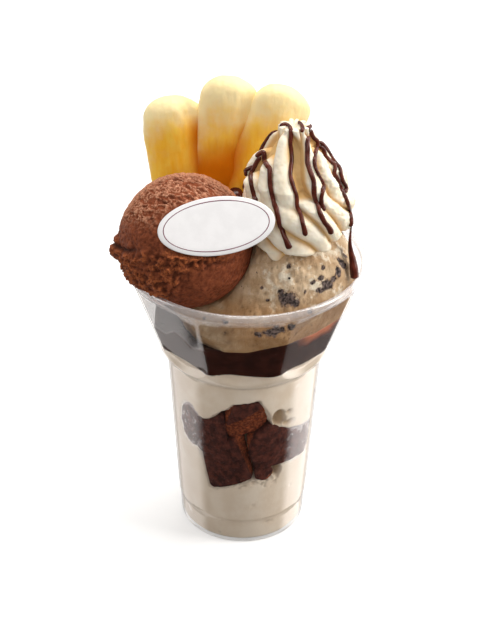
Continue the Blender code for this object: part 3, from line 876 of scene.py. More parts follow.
tag = {
    "middle": np.array((-11.1, -32.7, 158.4)),
    "halves": (22.1, 11.0),
    "thick": 1.2,
    "lean": -32.0,
    "roll": 7.8,
    "columns": 160,
    # the card's section, from back to front: (distance from the edge, level as a share of the thickness)
    "edge": [
        (0.35, -0.5), (0.12, -0.44), (0.02, -0.30), (0.0, 0.0), (0.02, 0.30), (0.12, 0.44), (0.35, 0.5),
        (3.0, 0.5),
    ],
    # half sizes of the rings within it
    "backMiddle": (0.442, 0.3),
    "frontRings": [(8.036, 4.0), (0.804, 0.3)],
    "line": (0.90, 0.85),  # where the line runs, as shares of the half width and half height
    # its section: (distance from the middle of the line, height over the card)
    "band": [(-0.18, -0.02), (-0.18, 0.03), (0.18, 0.03), (0.18, -0.02)],
}


# Chocolate scoop: drag ridges on top, pores at the left, and a shaggy torn band round its middle

chocolate = {
    "centre": np.array((-23.4, -13.2, 141.2)),
    "radius": 26.3,
    "rows": 200,
    "columns": 400,
    "lobe": np.array((-0.99, -0.10, -0.06)),
    "drag": (0.80, -0.36, -0.48),  # the way that the scoop was dragged through the ice cream
    "lobeReach": 2.3,
    "rimTop": 128.6,  # below this height the scoop stays within the wall, by the gap
    "rimGap": 0.25,
    "boxGap": 0.05,  # between the lobe and the side of the solid's box
    # upper and lower edge of the torn band, from the left to the right
    "brow": [(-1.0, -0.06), (-0.8, 0.12), (-0.3, 0.33), (0.4, 0.27), (0.7, 0.20)],
    "hem": [(-1.0, -1.1), (-0.40, -0.95), (-0.14, -0.35), (0.0, 0.04), (0.45, 0.08)],
}


def insideCup(points, top, gap):  # draws in what would cross the wall below this height
    x, y, height = points[..., 0], points[..., 1], points[..., 2]
    wall = wallInside(np.arctan2(x, -y), np.minimum(height, cup["wallTop"])) - gap
    share = np.where(height < top, np.minimum(1.0, wall / np.maximum(np.hypot(x, y), 1e-6)), 1.0)
    return stacked(x * share, y * share, height)


def tagTurn():
    lean = Matrix.Rotation(math.pi / 2 + math.radians(tag["lean"]), 3, "X")
    return np.array(lean @ Matrix.Rotation(math.radians(tag["roll"]), 3, "Z"))


def behindTag(points):  # the card presses flat what lies under it
    local = (points - tag["middle"]) @ tagTurn()
    long, tall = tag["halves"]
    inside = np.hypot(local[..., 0] / long, local[..., 1] / tall)
    limit = mixed(-0.75 * tag["thick"], 9.0, eased(0.93, 1.5, inside) ** 2)
    out = local[..., 2]
    local[..., 2] = np.where((out > limit) & (out < 8.0) & (inside < 1.5), limit, out)
    return local @ tagTurn().T + tag["middle"]


def chocolateMaterial():
    finish = Finish("chocolate_ice_cream")
    torn, pit, frostAndHighlight = finish.mask("torn"), finish.mask("pit"), finish.mask("frostAndHighlight")
    cloud = finish.grain(6.0, 3.0)
    lump = finish.grain(1.8, 5.0, 0.64)
    fine = finish.grain(0.8, 4.0, 0.6)
    crumb = finish.grain(1.2, 5.0, 0.7)
    body = finish.blend((0.110, 0.026, 0.011), (0.285, 0.078, 0.033), finish.between(0.33, 0.67, lump))
    body = finish.blend(body, (0.20, 0.052, 0.021), finish.between(0.35, 0.65, cloud, 0.6))
    flesh = finish.blend((0.125, 0.030, 0.012), (0.48, 0.140, 0.048), finish.between(0.38, 0.62, crumb))
    body = finish.blend(body, flesh, torn * 0.9)
    # frosty pale colour, partly a painted highlight on the crests and a painted band of light along the upper
    # outline
    body = finish.blend(body, (0.60, 0.29, 0.175), frostAndHighlight * finish.between(0.25, 0.60, fine))
    # painted shade in the cracks, gouges, pores and crevice
    body = finish.blend(body, (0.040, 0.0125, 0.008), pit)
    return finish.surface(
        Base_Color=body,
        Roughness=0.6,
        Specular_IOR_Level=0.08,
        Normal=finish.bump(lump * 1.4 + crumb * torn + fine * 0.4, 0.60, 0.9),
    )


def buildChocolate(material):
    way = ballDirections(chocolate["rows"], chocolate["columns"])
    x, z = way[..., 0], way[..., 2]
    # the same skirt and lobe as the solid
    swell = 0.6 * lumps(way, 0.40, 4.0) + 0.4 * lumps(way, 0.20, 9.0)
    left = eased(0.55, -0.75, x)
    low, tall = -0.28 - 0.22 * left, 0.10 + 0.16 * left
    skirt = np.exp(-(((z - low) / tall) ** 2))
    lobe = eased(0.972, 0.997, way @ chocolate["lobe"])
    reach = chocolate["radius"] + skirt * (0.5 + 1.4 * swell) + chocolate["lobeReach"] * lobe + 0.3 * swell
    # torn flesh: coarse crumbs below a line that rises from the left towards the front
    crumbs = lumps(way, 0.075, 11.0, 5)
    clots = lumps(way, 0.17, 21.0, 2)
    brow = along(chocolate["brow"], x) + 0.05 * clots
    hem = along(chocolate["hem"], x) + 0.07 * clots
    band = eased(brow + 0.06, brow - 0.05, z) * eased(hem - 0.08, hem + 0.09, z) * eased(0.78, 0.42, x)
    rough = np.maximum(band, lobe)
    knobs = 0.55 - bubbles(way + 0.03 * stacked(clots, crumbs, clots), 0.085, 9.0)
    reach += band * (0.35 + 0.95 * crumbs + 0.8 * clots) + lobe * 0.5 * crumbs + band * 0.6 * knobs
    crevice = np.exp(-(((z - brow - 0.05) / 0.035) ** 2)) * eased(-0.55, -0.85, x)
    reach -= 1.5 * crevice
    # a net of pale crests round shallow pits on top, drawn out to the right; the pale colour is partly frost
    # and partly painted highlight
    drag = unit(chocolate["drag"])
    toLens = unit(view["ahead"])
    up = way @ unit(view["up"])
    bent = way + 0.030 * stacked(clots, lumps(way, 0.2, 31.0), crumbs)
    drawn = bent - 0.74 * (bent @ drag)[..., None] * drag
    waves = lumps(drawn, 0.058, 7.0, 2)
    upper = eased(0.36, 0.62, up + 0.25 * lumps(way, 0.4, 13.0) + 0.30 * left)
    upper *= eased(-0.22, -0.42, way @ toLens)
    ridge = eased(0.26, 0.02, np.abs(waves)) * upper
    gouge = eased(0.22, 0.62, -waves) * upper
    reach += 0.48 * ridge - 0.45 * gouge - 0.25 * eased(0.3, 0.7, waves) * upper
    # pores over the left side
    pore = eased(0.48, 0.14, bubbles(way + 0.03 * stacked(crumbs, clots, crumbs), 0.066, 3.0))
    porous = eased(-0.25, 0.25, lumps(way, 0.45, 15.0) + 0.8 * left) * (1.0 - rough) * (1.0 - upper)
    reach -= 0.34 * pore * porous
    smooth = eased(0.0, 0.4, x) * eased(0.1, -0.1, z)
    reach += 0.34 * crumbs * (1.0 - 0.85 * smooth)
    points = chocolate["centre"] + way * reach[..., None]
    points = behindTag(insideCup(points, chocolate["rimTop"], chocolate["rimGap"]))
    points[..., 0] = np.maximum(points[..., 0], cadBox[0][0] / mm + chocolate["boxGap"])
    torn = rough * eased(-0.5, 0.4, crumbs + clots)
    cracks = eased(0.05, -0.50, crumbs + 0.5 * knobs) * rough
    # painted shade: cracks, gouges, pores and the crevice are coloured darker
    pit = np.max([0.62 * cracks, 0.40 * gouge, 0.55 * pore * porous, 0.95 * crevice], axis=0)
    # painted highlight: a pale band of light along the upper outline, as the lens sees it
    edge = eased(-0.50, -0.30, way @ toLens) * eased(0.15, 0.5, up) * 0.95
    masks = {"torn": torn, "pit": pit, "frostAndHighlight": np.maximum(ridge, edge)}
    dress(ringPiece("chocolateScoop", points, material, masks), "chocolate_ice_cream", "chocolate_scoop")


# Cookie scoop: one ball sunk in a soft base, with the chocolate scoop's seat pressed in it

cookie = {
    "centre": np.array((9.0, 0.0, 116.0)),
    "rows": 176,
    "columns": 352,
    # (middle, half sizes) of each mass
    "masses": [
        ((17.2, -4.0, 121.5), (27.2, 28.0, 27.0)),
        ((8.0, -4.0, 108.0), (34.5, 38.5, 16.5)),
        ((0.0, 14.0, 108.0), (38.0, 24.0, 14.0)),
    ],
    "melt": 7.0,
    "seatShift": np.array((0.0, -6.0, 4.0)),
    # (pixel across, pixel down, size, stretch, turn in degrees) of each chunk that shows in the photograph
    "chunks": [
        (288, 299, 2.7, 1.25, 10), (296, 303, 1.3, 1.2, 40), (327, 284, 2, 1.3, -20),
        (320, 290, 1.1, 1.4, 0), (334, 279, 1.2, 1.2, 30), (342, 264, 1.5, 2.2, -60),
        (345, 256, 0.9, 1.6, -60), (289, 266, 0.9, 1.2, 70), (323, 268, 0.8, 1.1, 0),
        (313, 282, 0.7, 1.5, 20), (305, 292, 0.6, 1.3, 50), (268, 300, 0.6, 1.2, 10),
        (262, 288, 0.5, 1.2, 80), (275, 331, 1.9, 2.1, 5), (258, 334, 1, 1.8, -5),
        (291, 327, 1.1, 1.5, 25), (225, 322, 0.8, 1.6, 0), (204, 318, 0.6, 1.8, 0),
        (310, 312, 0.8, 1.2, 0), (281, 292, 1, 1.2, 60), (338, 271, 1.3, 1.8, -60),
        (321, 278, 0.9, 1.3, 20),
    ],
    # the same kind on the sides that the photograph hides: (bearing from the front in degrees, height, size)
    "farChunks": [
        (95, 136, 2.4), (118, 124, 1.6), (140, 138, 2.0), (165, 122, 2.6), (190, 116, 1.7), (205, 120, 1.2),
        (75, 118, 1.8),
    ],
    "farStretch": 1.4,
    "bits": 90,  # loose crumbs
    "bitSize": (0.18, 0.38),
    "bitSides": (10, 14),
    "bitsAbove": 103.0,
    "rimTop": 131.0,  # below this height the scoop stays within the wall
    "farthest": 60.0,  # no part of the scoop is so far from its centre
    "halvings": 22,
}


def ovalGap(points, middle, halves):
    return (np.linalg.norm((points - middle) / halves, axis=-1) - 1.0) * min(halves)


def cookieGap(points):  # below zero inside the scoop
    near = 1000.0
    for middle, halves in cookie["masses"]:
        near = merged(near, ovalGap(points, middle, halves), cookie["melt"])
    seat = np.linalg.norm(points - chocolate["centre"] - cookie["seatShift"], axis=-1) - chocolate["radius"]
    return -merged(-near, seat, 3.0)


def cookieMaterial():
    finish = Finish("cookie_ice_cream")
    drag = finish.stretched((1.0, 1.0, 0.32))
    streak = finish.grain(1.5, 3.0, 0.6, where=drag)
    cloud = finish.grain(8.0, 3.0)
    fine = finish.grain(0.7, 3.0)
    body = finish.blend((0.50, 0.335, 0.195), (0.66, 0.49, 0.32), finish.between(0.36, 0.62, cloud))
    pale = finish.between(0.52, 0.62, finish.grain(6.5, 4.0, 0.6))
    body = finish.blend(body, (0.86, 0.77, 0.62), pale * finish.between(0.1, 0.9, finish.mask("rough"), 0.85))
    body = finish.blend(body, (0.36, 0.23, 0.13), finish.between(0.56, 0.76, streak, 0.6))
    flecks = finish.between(0.66, 0.74, finish.grain(1.3, 5.0, 0.6))
    body = finish.blend(body, (0.15, 0.095, 0.065), flecks * 0.8)
    tan = finish.between(0.60, 0.72, finish.grain(3.6, 5.0, 0.65), 0.7)
    body = finish.blend(body, (0.36, 0.20, 0.105), tan * finish.mask("rough"))
    # painted shade in the pores
    body = finish.blend(body, (0.24, 0.165, 0.11), finish.mask("pit") * 0.8)
    body = finish.blend(body, (0.74, 0.60, 0.46), finish.mask("shade"), "MULTIPLY")
    ragged = finish.grain(1.5, 6.0, 0.72)
    chunk = finish.mask("chunk") + (ragged - 0.5) * 1.7
    smear = finish.blend(body, (0.25, 0.135, 0.075), finish.between(0.15, 0.50, chunk, 0.6))
    crumbShare = finish.between(0.38, 0.64, finish.grain(1.1, 4.0))
    crumb = finish.blend((0.026, 0.020, 0.019), (0.19, 0.140, 0.125), crumbShare)
    body = finish.blend(smear, crumb, finish.between(0.40, 0.66, chunk))
    return finish.surface(
        Base_Color=body,
        Roughness=0.5,
        Specular_IOR_Level=0.08,
        Normal=finish.bump(streak + ragged + fine * 0.6, 0.40, 0.9),
    )


def buildCookie(material):
    way = ballDirections(cookie["rows"], cookie["columns"])
    near = np.zeros(way.shape[:2])
    far = np.full(way.shape[:2], cookie["farthest"])
    for _ in range(cookie["halvings"]):  # closes in on the surface along each direction
        middle = (near + far) / 2
        inside = cookieGap(cookie["centre"] + way * middle[..., None]) < 0.0
        near, far = np.where(inside, middle, near), np.where(inside, far, middle)
    points = cookie["centre"] + way * near[..., None]
    upright = points * (1.0, 1.0, 0.30)
    streak = lumps(upright, 1.6, 4.0, 3)
    swell = lumps(points, 7.0, 2.0, 2)
    pore = eased(0.40, 0.12, bubbles(points * (1.0, 1.0, 0.6), 1.7, 6.0))
    pore *= eased(-0.1, 0.3, lumps(points, 8.0, 9.0))
    broken = eased(-4.0, 12.0, points[..., 0] + 3.0 * swell) * eased(112.0, 122.0, points[..., 2])
    craggy = lumps(points, 2.6, 14.0, 4)
    near = near + 0.5 * swell + 0.28 * streak - 0.35 * pore + broken * 0.75 * craggy
    points = cookie["centre"] + way * near[..., None]
    swoops = eased(123.0, 116.0, points[..., 2]) * lumps(points * (0.35, 0.35, 1.0), 3.0, 12.0, 2)
    points += way * (0.7 * swoops)[..., None]
    points = insideCup(points, cookie["rimTop"], -0.05)
    # below the rim a darker painted shade, where the rim and wall shade it, with pale swirls at the front
    # left
    front = np.exp(-(((points[..., 0] + 14.0) / 9.0) ** 2)) * eased(0.0, -10.0, points[..., 1])
    swirls = lumps(points * (0.30, 0.30, 1.0), 2.6, 17.0, 2)
    light = 0.5 * np.maximum(swoops, 0.0) + front * eased(-0.4, 0.5, swirls)
    shade = np.clip(eased(127.0, 120.0, points[..., 2]) * (1.0 - light), 0.0, 1.0)
    piece = ringPiece("cookieScoop", points, material, {"pit": pore, "shade": shade, "rough": broken})
    return dress(piece, "cookie_ice_cream", "cookie_scoop")


def pixelRay(across, down):  # the way the camera looks at a pixel of the photograph
    width, height = view["pixels"]
    focal = view["lens"] / view["sensor"] * height
    right, up = Vector(view["right"]), Vector(view["up"])
    ray = Vector(view["ahead"]) + right * ((across - width / 2) / focal) + up * ((height / 2 - down) / focal)
    return ray.normalized()


def atDepth(across, down, y):  # from the lens to the place there with this y
    way = np.array(pixelRay(across, down))
    return way * ((y - view["place"][1]) / way[1])


def struck(tree, start, way):  # where a ray meets a piece, or the nearest place to where it passes the axis
    place, normal, _, _ = tree.ray_cast(start, way)
    if place is None:
        axis = Vector(swirlMiddle(swirl["shoulder"])) * mm
        place, normal, _, _ = tree.find_nearest(start + way * (axis - start).dot(way))
    return np.array(place) / mm, np.array(normal)


def seenOn(tree, across, down):  # the place that the camera sees there on a piece
    return struck(tree, Vector(view["place"]) * mm, pixelRay(across, down))


def met(tree, middle, bearing):  # the place on a piece that lies this way, in degrees, from its middle
    out = Vector((math.sin(math.radians(bearing)), -math.cos(math.radians(bearing)), 0.0))
    return struck(tree, (Vector(middle) + out * view["outside"]) * mm, -out)


def flatAxes(normal, turn):  # two directions along a surface
    out = unit(normal)
    side = unit(np.cross((0.0, 0.0, 1.0) if abs(out[2]) < 0.9 else (0.0, 1.0, 0.0), out))
    up = np.cross(out, side)
    long = math.cos(turn) * side + math.sin(turn) * up
    return long, np.cross(out, long)


def markChunks(scoop, tree, corners):  # dark patches of cookie with ragged edges
    ragged = 0.38 * lumps(corners, 1.5, 3.0) + 0.22 * lumps(corners, 0.7, 8.0)
    spots = [(*seenOn(tree, across, down), *rest) for across, down, *rest in cookie["chunks"]]
    for bearing, height, size in cookie["farChunks"]:
        hit = met(tree, (*cookie["centre"][:2], height), bearing)
        spots.append((*hit, size, cookie["farStretch"], bearing))
    marked = np.zeros(len(corners))
    for place, normal, size, stretch, turn in spots:
        long, wide = flatAxes(normal, math.radians(turn))
        near = corners - place
        reach = np.sqrt((near @ long / stretch) ** 2 + (near @ wide) ** 2 + (near @ normal) ** 2 * 0.5) / size
        marked = np.maximum(marked, eased(1.75, 0.35, reach + ragged))
    layer = scoop.data.attributes.new("chunk", "FLOAT", "POINT")
    layer.data.foreach_set("value", marked.astype(np.float32))


def lumpBody(middle, size, stretch, turn, outward, seed):  # one crumb, flattened against what it sits in
    way = ballDirections(*cookie["bitSides"])
    long, wide = flatAxes(outward, turn)
    reach = size * (1.0 + 0.34 * lumps(way, 0.9, seed) + 0.20 * lumps(way, 0.4, seed + 3.0))
    axes = np.stack([long * stretch, wide, unit(outward) * 0.62])
    return middle + (way * reach[..., None]) @ axes


def crumbMaterial():
    finish = Finish("cookie_crumb")
    grain = finish.grain(0.6, 3.0)
    colour = finish.blend((0.014, 0.010, 0.009), (0.080, 0.055, 0.045), finish.between(0.4, 0.72, grain))
    return finish.surface(Base_Color=colour, Roughness=0.6, Normal=finish.bump(grain, 0.4, 0.9))


def treeOf(piece):
    return BVHTree.FromObject(piece, bpy.context.evaluated_depsgraph_get())


def buildCrumbs(scoop):
    corners = np.array([vertex.co for vertex in scoop.data.vertices]) / mm
    normals = np.array([vertex.normal for vertex in scoop.data.vertices])
    markChunks(scoop, treeOf(scoop), corners)
    draw = np.random.default_rng(8)
    picks = draw.choice(len(corners), cookie["bits"] * 3, replace=False)
    picks = [pick for pick in picks if corners[pick][2] > cookie["bitsAbove"]][: cookie["bits"]]
    bodies = []
    for number, pick in enumerate(picks):
        size = draw.uniform(*cookie["bitSize"]) * (1.9 if number % 12 == 0 else 1.0)
        middle = corners[pick] - normals[pick] * size * 0.35
        body = lumpBody(middle, size, draw.uniform(1.0, 1.9), draw.uniform(0, 3.1), normals[pick], number)
        bodies.append(insideCup(body, cookie["rimTop"], -0.12))
    dress(joinedRings("cookieCrumbs", bodies, crumbMaterial()), "cookie_ice_cream", "cookie_scoop")


# Piped cream: separate upright ridges, each with its own rounded top, over a round of leaning folds

swirl = {
    "axis": (20.0, -7.5),
    "lean": -2.4,
    "foot": 142.5,
    "shoulder": 170.0,
    "top": 188.4,
    "rows": 200,
    "columns": 400,
    # height, and reach of the ridges' crests
    "crests": [
        (142.5, 14.0), (160.0, 18.4), (168.0, 18.0), (174.0, 14.8), (181.0, 10.4), (185.5, 7.6), (188.4, 5.0),
    ],
    "valley": 4.2,
    # (bearing at the top and at the shoulder, half width in degrees, top, how far it stands out)
    "ridges": [
        (-80, -73, 12, 170.6, 2.6),
        (-60, -45, 13, 178.2, 1.3),
        (-37, -18, 21, 188.3, 0.2),
        (40, 29, 15, 187.4, 0.3),
        (68, 56, 13, 181.0, 0.6),
        (92, 86, 14, 175.0, 1.9),
        (113, 112, 14, 187.6, 0.0),
        (142, 140, 15, 188.4, 0.2),
        (172, 169, 15, 187.9, 0.0),
        (203, 199, 16, 188.4, 0.3),
        (236, 230, 15, 184.5, 0.2),
        (262, 260, 14, 178.0, 1.0),
    ],
    # the round below: height and reach, number of folds, their depth, and their lean in radians a mm
    "round": [
        (142.5, 19.6), (145.0, 21.3), (151.0, 22.3), (157.0, 21.7), (161.5, 20.2), (164.5, 18.0),
        (167.0, 13.5), (171.0, 6.0),
    ],
    "folds": 11,
    "foldDepth": 2.7,
    "foldLean": 0.050,
    "crown": (0.82, 0.6, 0.4, 0.2, 0.06),  # rings that close the top
}


def swirlReach(bearing, height):  # the second value tells how deep in a groove it lies, for the painted shade there
    crest = along(swirl["crests"], height)
    drift = 0.014 * np.maximum(0.0, 171.0 - height) ** 1.05
    reach = crest - swirl["valley"] * eased(2.0, 9.0, crest) * (1.0 - 0.45 * eased(184.0, 188.0, height))
    for high, low, wide, top, extra in swirl["ridges"]:
        middle = np.radians(mixed(low, high, eased(170.0, 186.0, height))) + drift
        off = aside(bearing, middle) / math.radians(wide)
        closing = np.sqrt(np.clip(1.0 - (np.maximum(height - top + 4.0, 0.0) / 4.0) ** 2, 0.0, 1.0))
        body = (crest + extra) * (0.60 + 0.40 * closing) - 2.6 * off**2 - 1.1 * off**4
        reach = -merged(-reach, -np.where(closing > 0.0, body, 0.0), 0.5)
    lean = swirl["foldLean"] * (163.0 - height)
    lean = lean + 0.10 * np.sin(3 * bearing + 1.0) + 0.06 * np.sin(5 * bearing)
    wave = np.abs(np.cos(swirl["folds"] * (bearing - lean - 0.15) / 2))
    low = along(swirl["round"], height)
    folded = low - swirl["foldDepth"] * (1.0 - wave) ** 1.5
    reach = -merged(-reach, -folded, 0.9)
    grooveShade = np.clip((np.maximum(crest, low) - reach) / 3.8, 0.0, 1.0)
    return reach, grooveShade


def swirlMiddle(height):
    return stacked(swirl["axis"][0] + swirl["lean"] * eased(155.0, 175.0, height), swirl["axis"][1], height)


def swirlMaterial():
    finish = Finish("piped_cream")
    cloud = finish.grain(5.0, 2.0)
    grooveShade = finish.mask("grooveShade")
    colour = finish.blend((0.87, 0.77, 0.60), (0.93, 0.86, 0.72), finish.between(0.35, 0.65, cloud))
    # painted shade: the grooves are coloured a darker yellow tan
    colour = finish.blend(colour, (0.70, 0.43, 0.16), finish.between(0.06, 0.72, grooveShade, 0.94))
    return finish.surface(
        Base_Color=colour,
        Roughness=0.42,
        Specular_IOR_Level=0.12,
        Subsurface_Weight=0.15,
        Subsurface_Radius=(1.0, 0.7, 0.4),
        Subsurface_Scale=0.002,
        Normal=finish.bump(cloud, 0.25, 0.5),
    )


def buildSwirl(material):
    level = np.linspace(0.0, 1.0, swirl["rows"])[:, None]
    turn = roundTurn(swirl["columns"])
    # the foot hangs lower in a pointed flap at the front, and in soft laps elsewhere
    flap = np.exp(-((aside(turn, math.radians(-26)) / 0.19) ** 2))
    tucked = eased(0.55, 0.80, turn) * eased(1.95, 1.55, turn)
    foot = swirl["foot"] - 4.4 * flap - 0.5 * np.maximum(0.0, np.sin(5 * turn + 0.5)) + 4.6 * tucked
    height = mixed(foot, swirl["top"], level)
    reach, grooveShade = swirlReach(turn, np.maximum(height, swirl["foot"]))
    lip = np.exp(-(((height - foot - 2.2) / 1.3) ** 2))
    reach += 0.7 * lip - 1.6 * eased(1.6, 0.0, height - foot) - 1.2 * tucked * eased(7.0, 0.0, height - foot)
    way = atBearing(turn, 1.0, 0.0 * height)
    points = swirlMiddle(height) + way * reach[..., None]
    crumpled = 0.25 + 0.75 * eased(0.35, 0.8, turn) * eased(2.8, 2.0, turn) * eased(186.0, 176.0, height)
    rough = 0.40 * lumps(points, 6.0, 3.0) + 0.10 * lumps(points, 1.5, 5.0, 2)
    rough += crumpled * (0.9 * np.abs(lumps(points, 3.0, 8.0, 2)) + 0.35 * np.abs(lumps(points, 1.3, 2.0)))
    points += way * rough[..., None]
    # the crown closes over as petals that dip to the middle
    middle = swirlMiddle(swirl["top"])
    crown = []
    for share in swirl["crown"]:
        ring = mixed(middle, points[-1], (share, share, 1.0))
        crown.append(ring + (0.0, 0.0, 0.3 * math.sin(share * 3.1) - 1.2 * (1.0 - share) ** 2))
    points = np.concatenate([points, crown])
    grooveShade = np.concatenate([grooveShade, [grooveShade[-1] * share for share in swirl["crown"]]])
    piece = ringPiece("pipedSwirl", points, material, {"grooveShade": grooveShade})
    return dress(piece, "whipped_cream", "whipped_swirl")


# Sauce drizzled over the swirl

sauce = {
    # (half width, where the strand runs in the photograph as pixels across and down)
    "strands": [
        (0.86, [
            (279.6, 126.4), (284.9, 124.9), (289.1, 127), (290.6, 132), (289.9, 143.4), (290.9, 159.1),
            (289.9, 174.9), (292.7, 186.3), (296, 196.3), (297, 206.3), (300.6, 216.3), (303.4, 226.3),
            (306, 236.3),
        ]),
        (0.96, [
            (257, 157.7), (259.3, 154.3), (264.1, 153.1), (264.6, 159.9), (267, 165.6), (269.4, 169.4),
            (269.4, 179.1), (270.3, 189.1), (273.4, 200.6), (277.4, 212), (280.3, 224.9), (284.1, 236.3),
            (287.7, 243.4), (289.9, 248.4),
        ]),
        (0.92, [
            (261, 156.5), (257.4, 161.5), (254.6, 166.9), (251.4, 173.7), (250.9, 180.6), (252.4, 189.1),
            (254.6, 196.3), (257, 202.3),
        ]),
        (0.78, [(239.1, 177.7), (242, 173.4), (247, 169.9), (254.4, 166)]),
        (0.95, [
            (307.7, 136.3), (307.2, 142.6), (307.7, 149.1), (307.7, 160.6), (310.3, 172), (313.4, 180.6),
            (314.1, 192), (316.3, 202), (319.1, 212), (323.4, 220.6), (329.1, 227.7), (331.3, 233.4),
        ]),
        (0.86, [
            (309.9, 129.5), (311.3, 134.1), (313.6, 138.1), (317.3, 141.9), (316.3, 149.7),
            (314.3, 158.7), (314.9, 167.7), (317.7, 174.9), (322.3, 180.6), (323.2, 187.3),
            (321.3, 194.9), (321.3, 203.4), (324.1, 212),
        ]),
        (0.80, [(297.2, 122.9), (300.6, 124.1), (302.7, 128.4), (302, 132)]),
        (0.86, [
            (319.1, 145.6), (323.4, 150.6), (324.9, 156.3), (330.6, 162), (334.9, 166.3), (334.1, 173.4),
            (337.7, 179.1), (340.6, 189.1), (344.9, 197.7), (348, 204.9), (349.4, 211), (350.2, 218),
            (350.6, 225),
        ]),
        (0.80, [
            (334.9, 162.9), (339.3, 168.1), (340.5, 175.3), (343.5, 182.4), (346.1, 187.7), (344.3, 193),
        ]),
    ],
    # on the far side: (half width, [(bearing from the front in degrees, height), ...])
    "farStrands": [
        (0.85, [(62, 187), (100, 187.6), (132, 184), (139, 178), (141, 170), (150, 162), (158, 155)]),
        (0.90, [(205, 187), (196, 180), (199, 172), (206, 165), (214, 157), (220, 151)]),
        (0.80, [(-128, 184), (-122, 177), (-118, 171), (-112, 165), (-104, 158)]),
        (0.90, [(104, 181), (112, 174), (110, 167), (118, 160), (127, 153)]),
    ],
    # the number of the strand that runs on down to the cup's rim, and its way to a heavy drop there:
    # (pixel across, pixel down, y, half width)
    "runsOn": 7,
    "drop": [
        (350.6, 232.0, -13.4, 0.55),
        (349.9, 241.0, -13.6, 0.52),
        (350.6, 250.0, -14.0, 0.90),
        (352.6, 260.0, -15.0, 1.45),
        (354.0, 270.0, -16.4, 2.00),
        (354.8, 279.0, -17.6, 1.95),
    ],
    "dropOutward": (0.93, -0.30, 0.2),
    "section": (14, 0.85),  # columns, and how flat a strand lies
    "pool": (-4.6, 6.5, 146.6),
    "poolHalves": (4.6, 5.0, 7.4),
    "poolSides": (24, 32),
    "steps": (10, 12),  # steps from one stop of a strand to the next, in front and on the far side
}


def sauceMaterial():
    finish = Finish("drizzled_sauce")
    cloud = finish.grain(3.0, 2.0)
    colour = finish.blend((0.060, 0.0130, 0.0085), (0.120, 0.0260, 0.0150), finish.between(0.35, 0.7, cloud))
    return finish.surface(Base_Color=colour, Roughness=0.20, Specular_IOR_Level=0.22)


def settled(hits, width):  # a thick strand rounds off what it lies on
    kernel = np.array((1, 2, 3, 4, 3, 2, 1)) / 16.0
    smooth = []
    for rows in zip(*hits):
        padded = np.pad(rows, ((3, 3), (0, 0)), mode="edge")
        smooth.append(np.stack([np.convolve(padded[:, axis], kernel, "valid") for axis in range(3)], axis=-1))
    places, normals = smooth
    normals /= np.linalg.norm(normals, axis=1)[:, None] + 1e-9
    return places + normals * width * 0.45, normals


def rounded(widths):  # ends a strand in round tips
    steps = np.arange(len(widths))
    tip = np.minimum(1.0, np.sqrt(np.maximum(0.02, np.minimum(steps, len(widths) - 1 - steps) / 3.0)))
    return widths * tip


def withDrop(path, out, widths):  # the strand that runs on
    eye = np.array(view["place"])
    places = [eye + atDepth(across, down, y) for across, down, y, _ in sauce["drop"]]
    thick = [half for *_, half in sauce["drop"]]
    tail = curved([path[-1], *places], 80)[1:]
    share = np.linspace(0.0, len(thick) - 1.0, len(tail))
    widths = np.concatenate([widths, np.interp(share, range(len(thick)), thick)])
    outward = np.tile(unit(sauce["dropOutward"]), (len(tail), 1))
    return np.concatenate([path, tail]), np.concatenate([out, outward]), widths


def buildDrizzle(material, swirlPiece):
    tree = treeOf(swirlPiece)
    strands = []
    near, far = sauce["steps"]
    for width, stops in sauce["strands"]:
        line = curved(stops, near * (len(stops) - 1)).tolist()
        strands.append((width, [seenOn(tree, across, down) for across, down in line]))
    for width, stops in sauce["farStrands"]:
        line = curved(stops, far * (len(stops) - 1)).tolist()
        strands.append((width, [met(tree, swirlMiddle(height), bearing) for bearing, height in line]))
    bodies = []
    for number, (width, hits) in enumerate(strands):
        path, out = settled(hits, width)
        share = np.linspace(0.0, 1.0, len(path))
        widths = width * (1.0 + 0.16 * lumps(path, 3.5, number * 3.0) + 0.22 * eased(0.86, 0.97, share))
        if number == sauce["runsOn"]:
            path, out, widths = withDrop(path, out, widths)
        bodies.append(tube(path, rounded(widths), out, *sauce["section"]))
    dress(joinedRings("sauceDrizzle", bodies, material), "whipped_cream", "whipped_swirl")
    blob = ballDirections(*sauce["poolSides"])
    pool = sauce["pool"] + blob * sauce["poolHalves"] * (1.0 + 0.12 * lumps(blob, 0.8, 3.0))[..., None]
    piece = ringPiece("saucePool", pool, material)
    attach(piece, "root")


# Bananas: three ripe pieces, pale outside, golden in the middle, with amber painted shade where they meet

bananas = {
    "rows": 130,
    "columns": 96,
    "width": 22.8,
    "depth": 15.0,
    "length": 76.0,
    "tip": 17.0,  # how far below the end the round tip reaches
    # thickness below it, as a share
    "taper": [(17, 1.0), (30, 0.97), (45, 0.84), (60, 0.66), (70, 0.5), (76, 0.0)],
    "pieces": {
        # amberShade: amber painted shade, where the pieces meet and round the foot: how far below the tip it
        # begins and is full, along one flank and round the foot, and how strong it is at the foot
        "banana_left": {
            "top": (-30.3, 23.5, 186.9), "lean": (-5, 3), "size": 1.10, "paleTo": 19,
            "amberSide": 1, "amberShade": ((5, 15), (24, 40), 0.4),
        },
        "banana_middle": {
            "top": (-6.6, 21.5, 196.5), "lean": (6, 2), "size": 1.02, "paleTo": 33,
            "amberSide": 1, "amberShade": ((13, 24), (20, 36), 1.0),
        },
        "banana_right": {
            "top": (15.6, 18.0, 194.0), "lean": (18, 1), "size": 1.03, "paleTo": 27,
            "amberSide": -0.8, "amberShade": ((16, 34), (22, 40), 0.5),
        },
    },
}


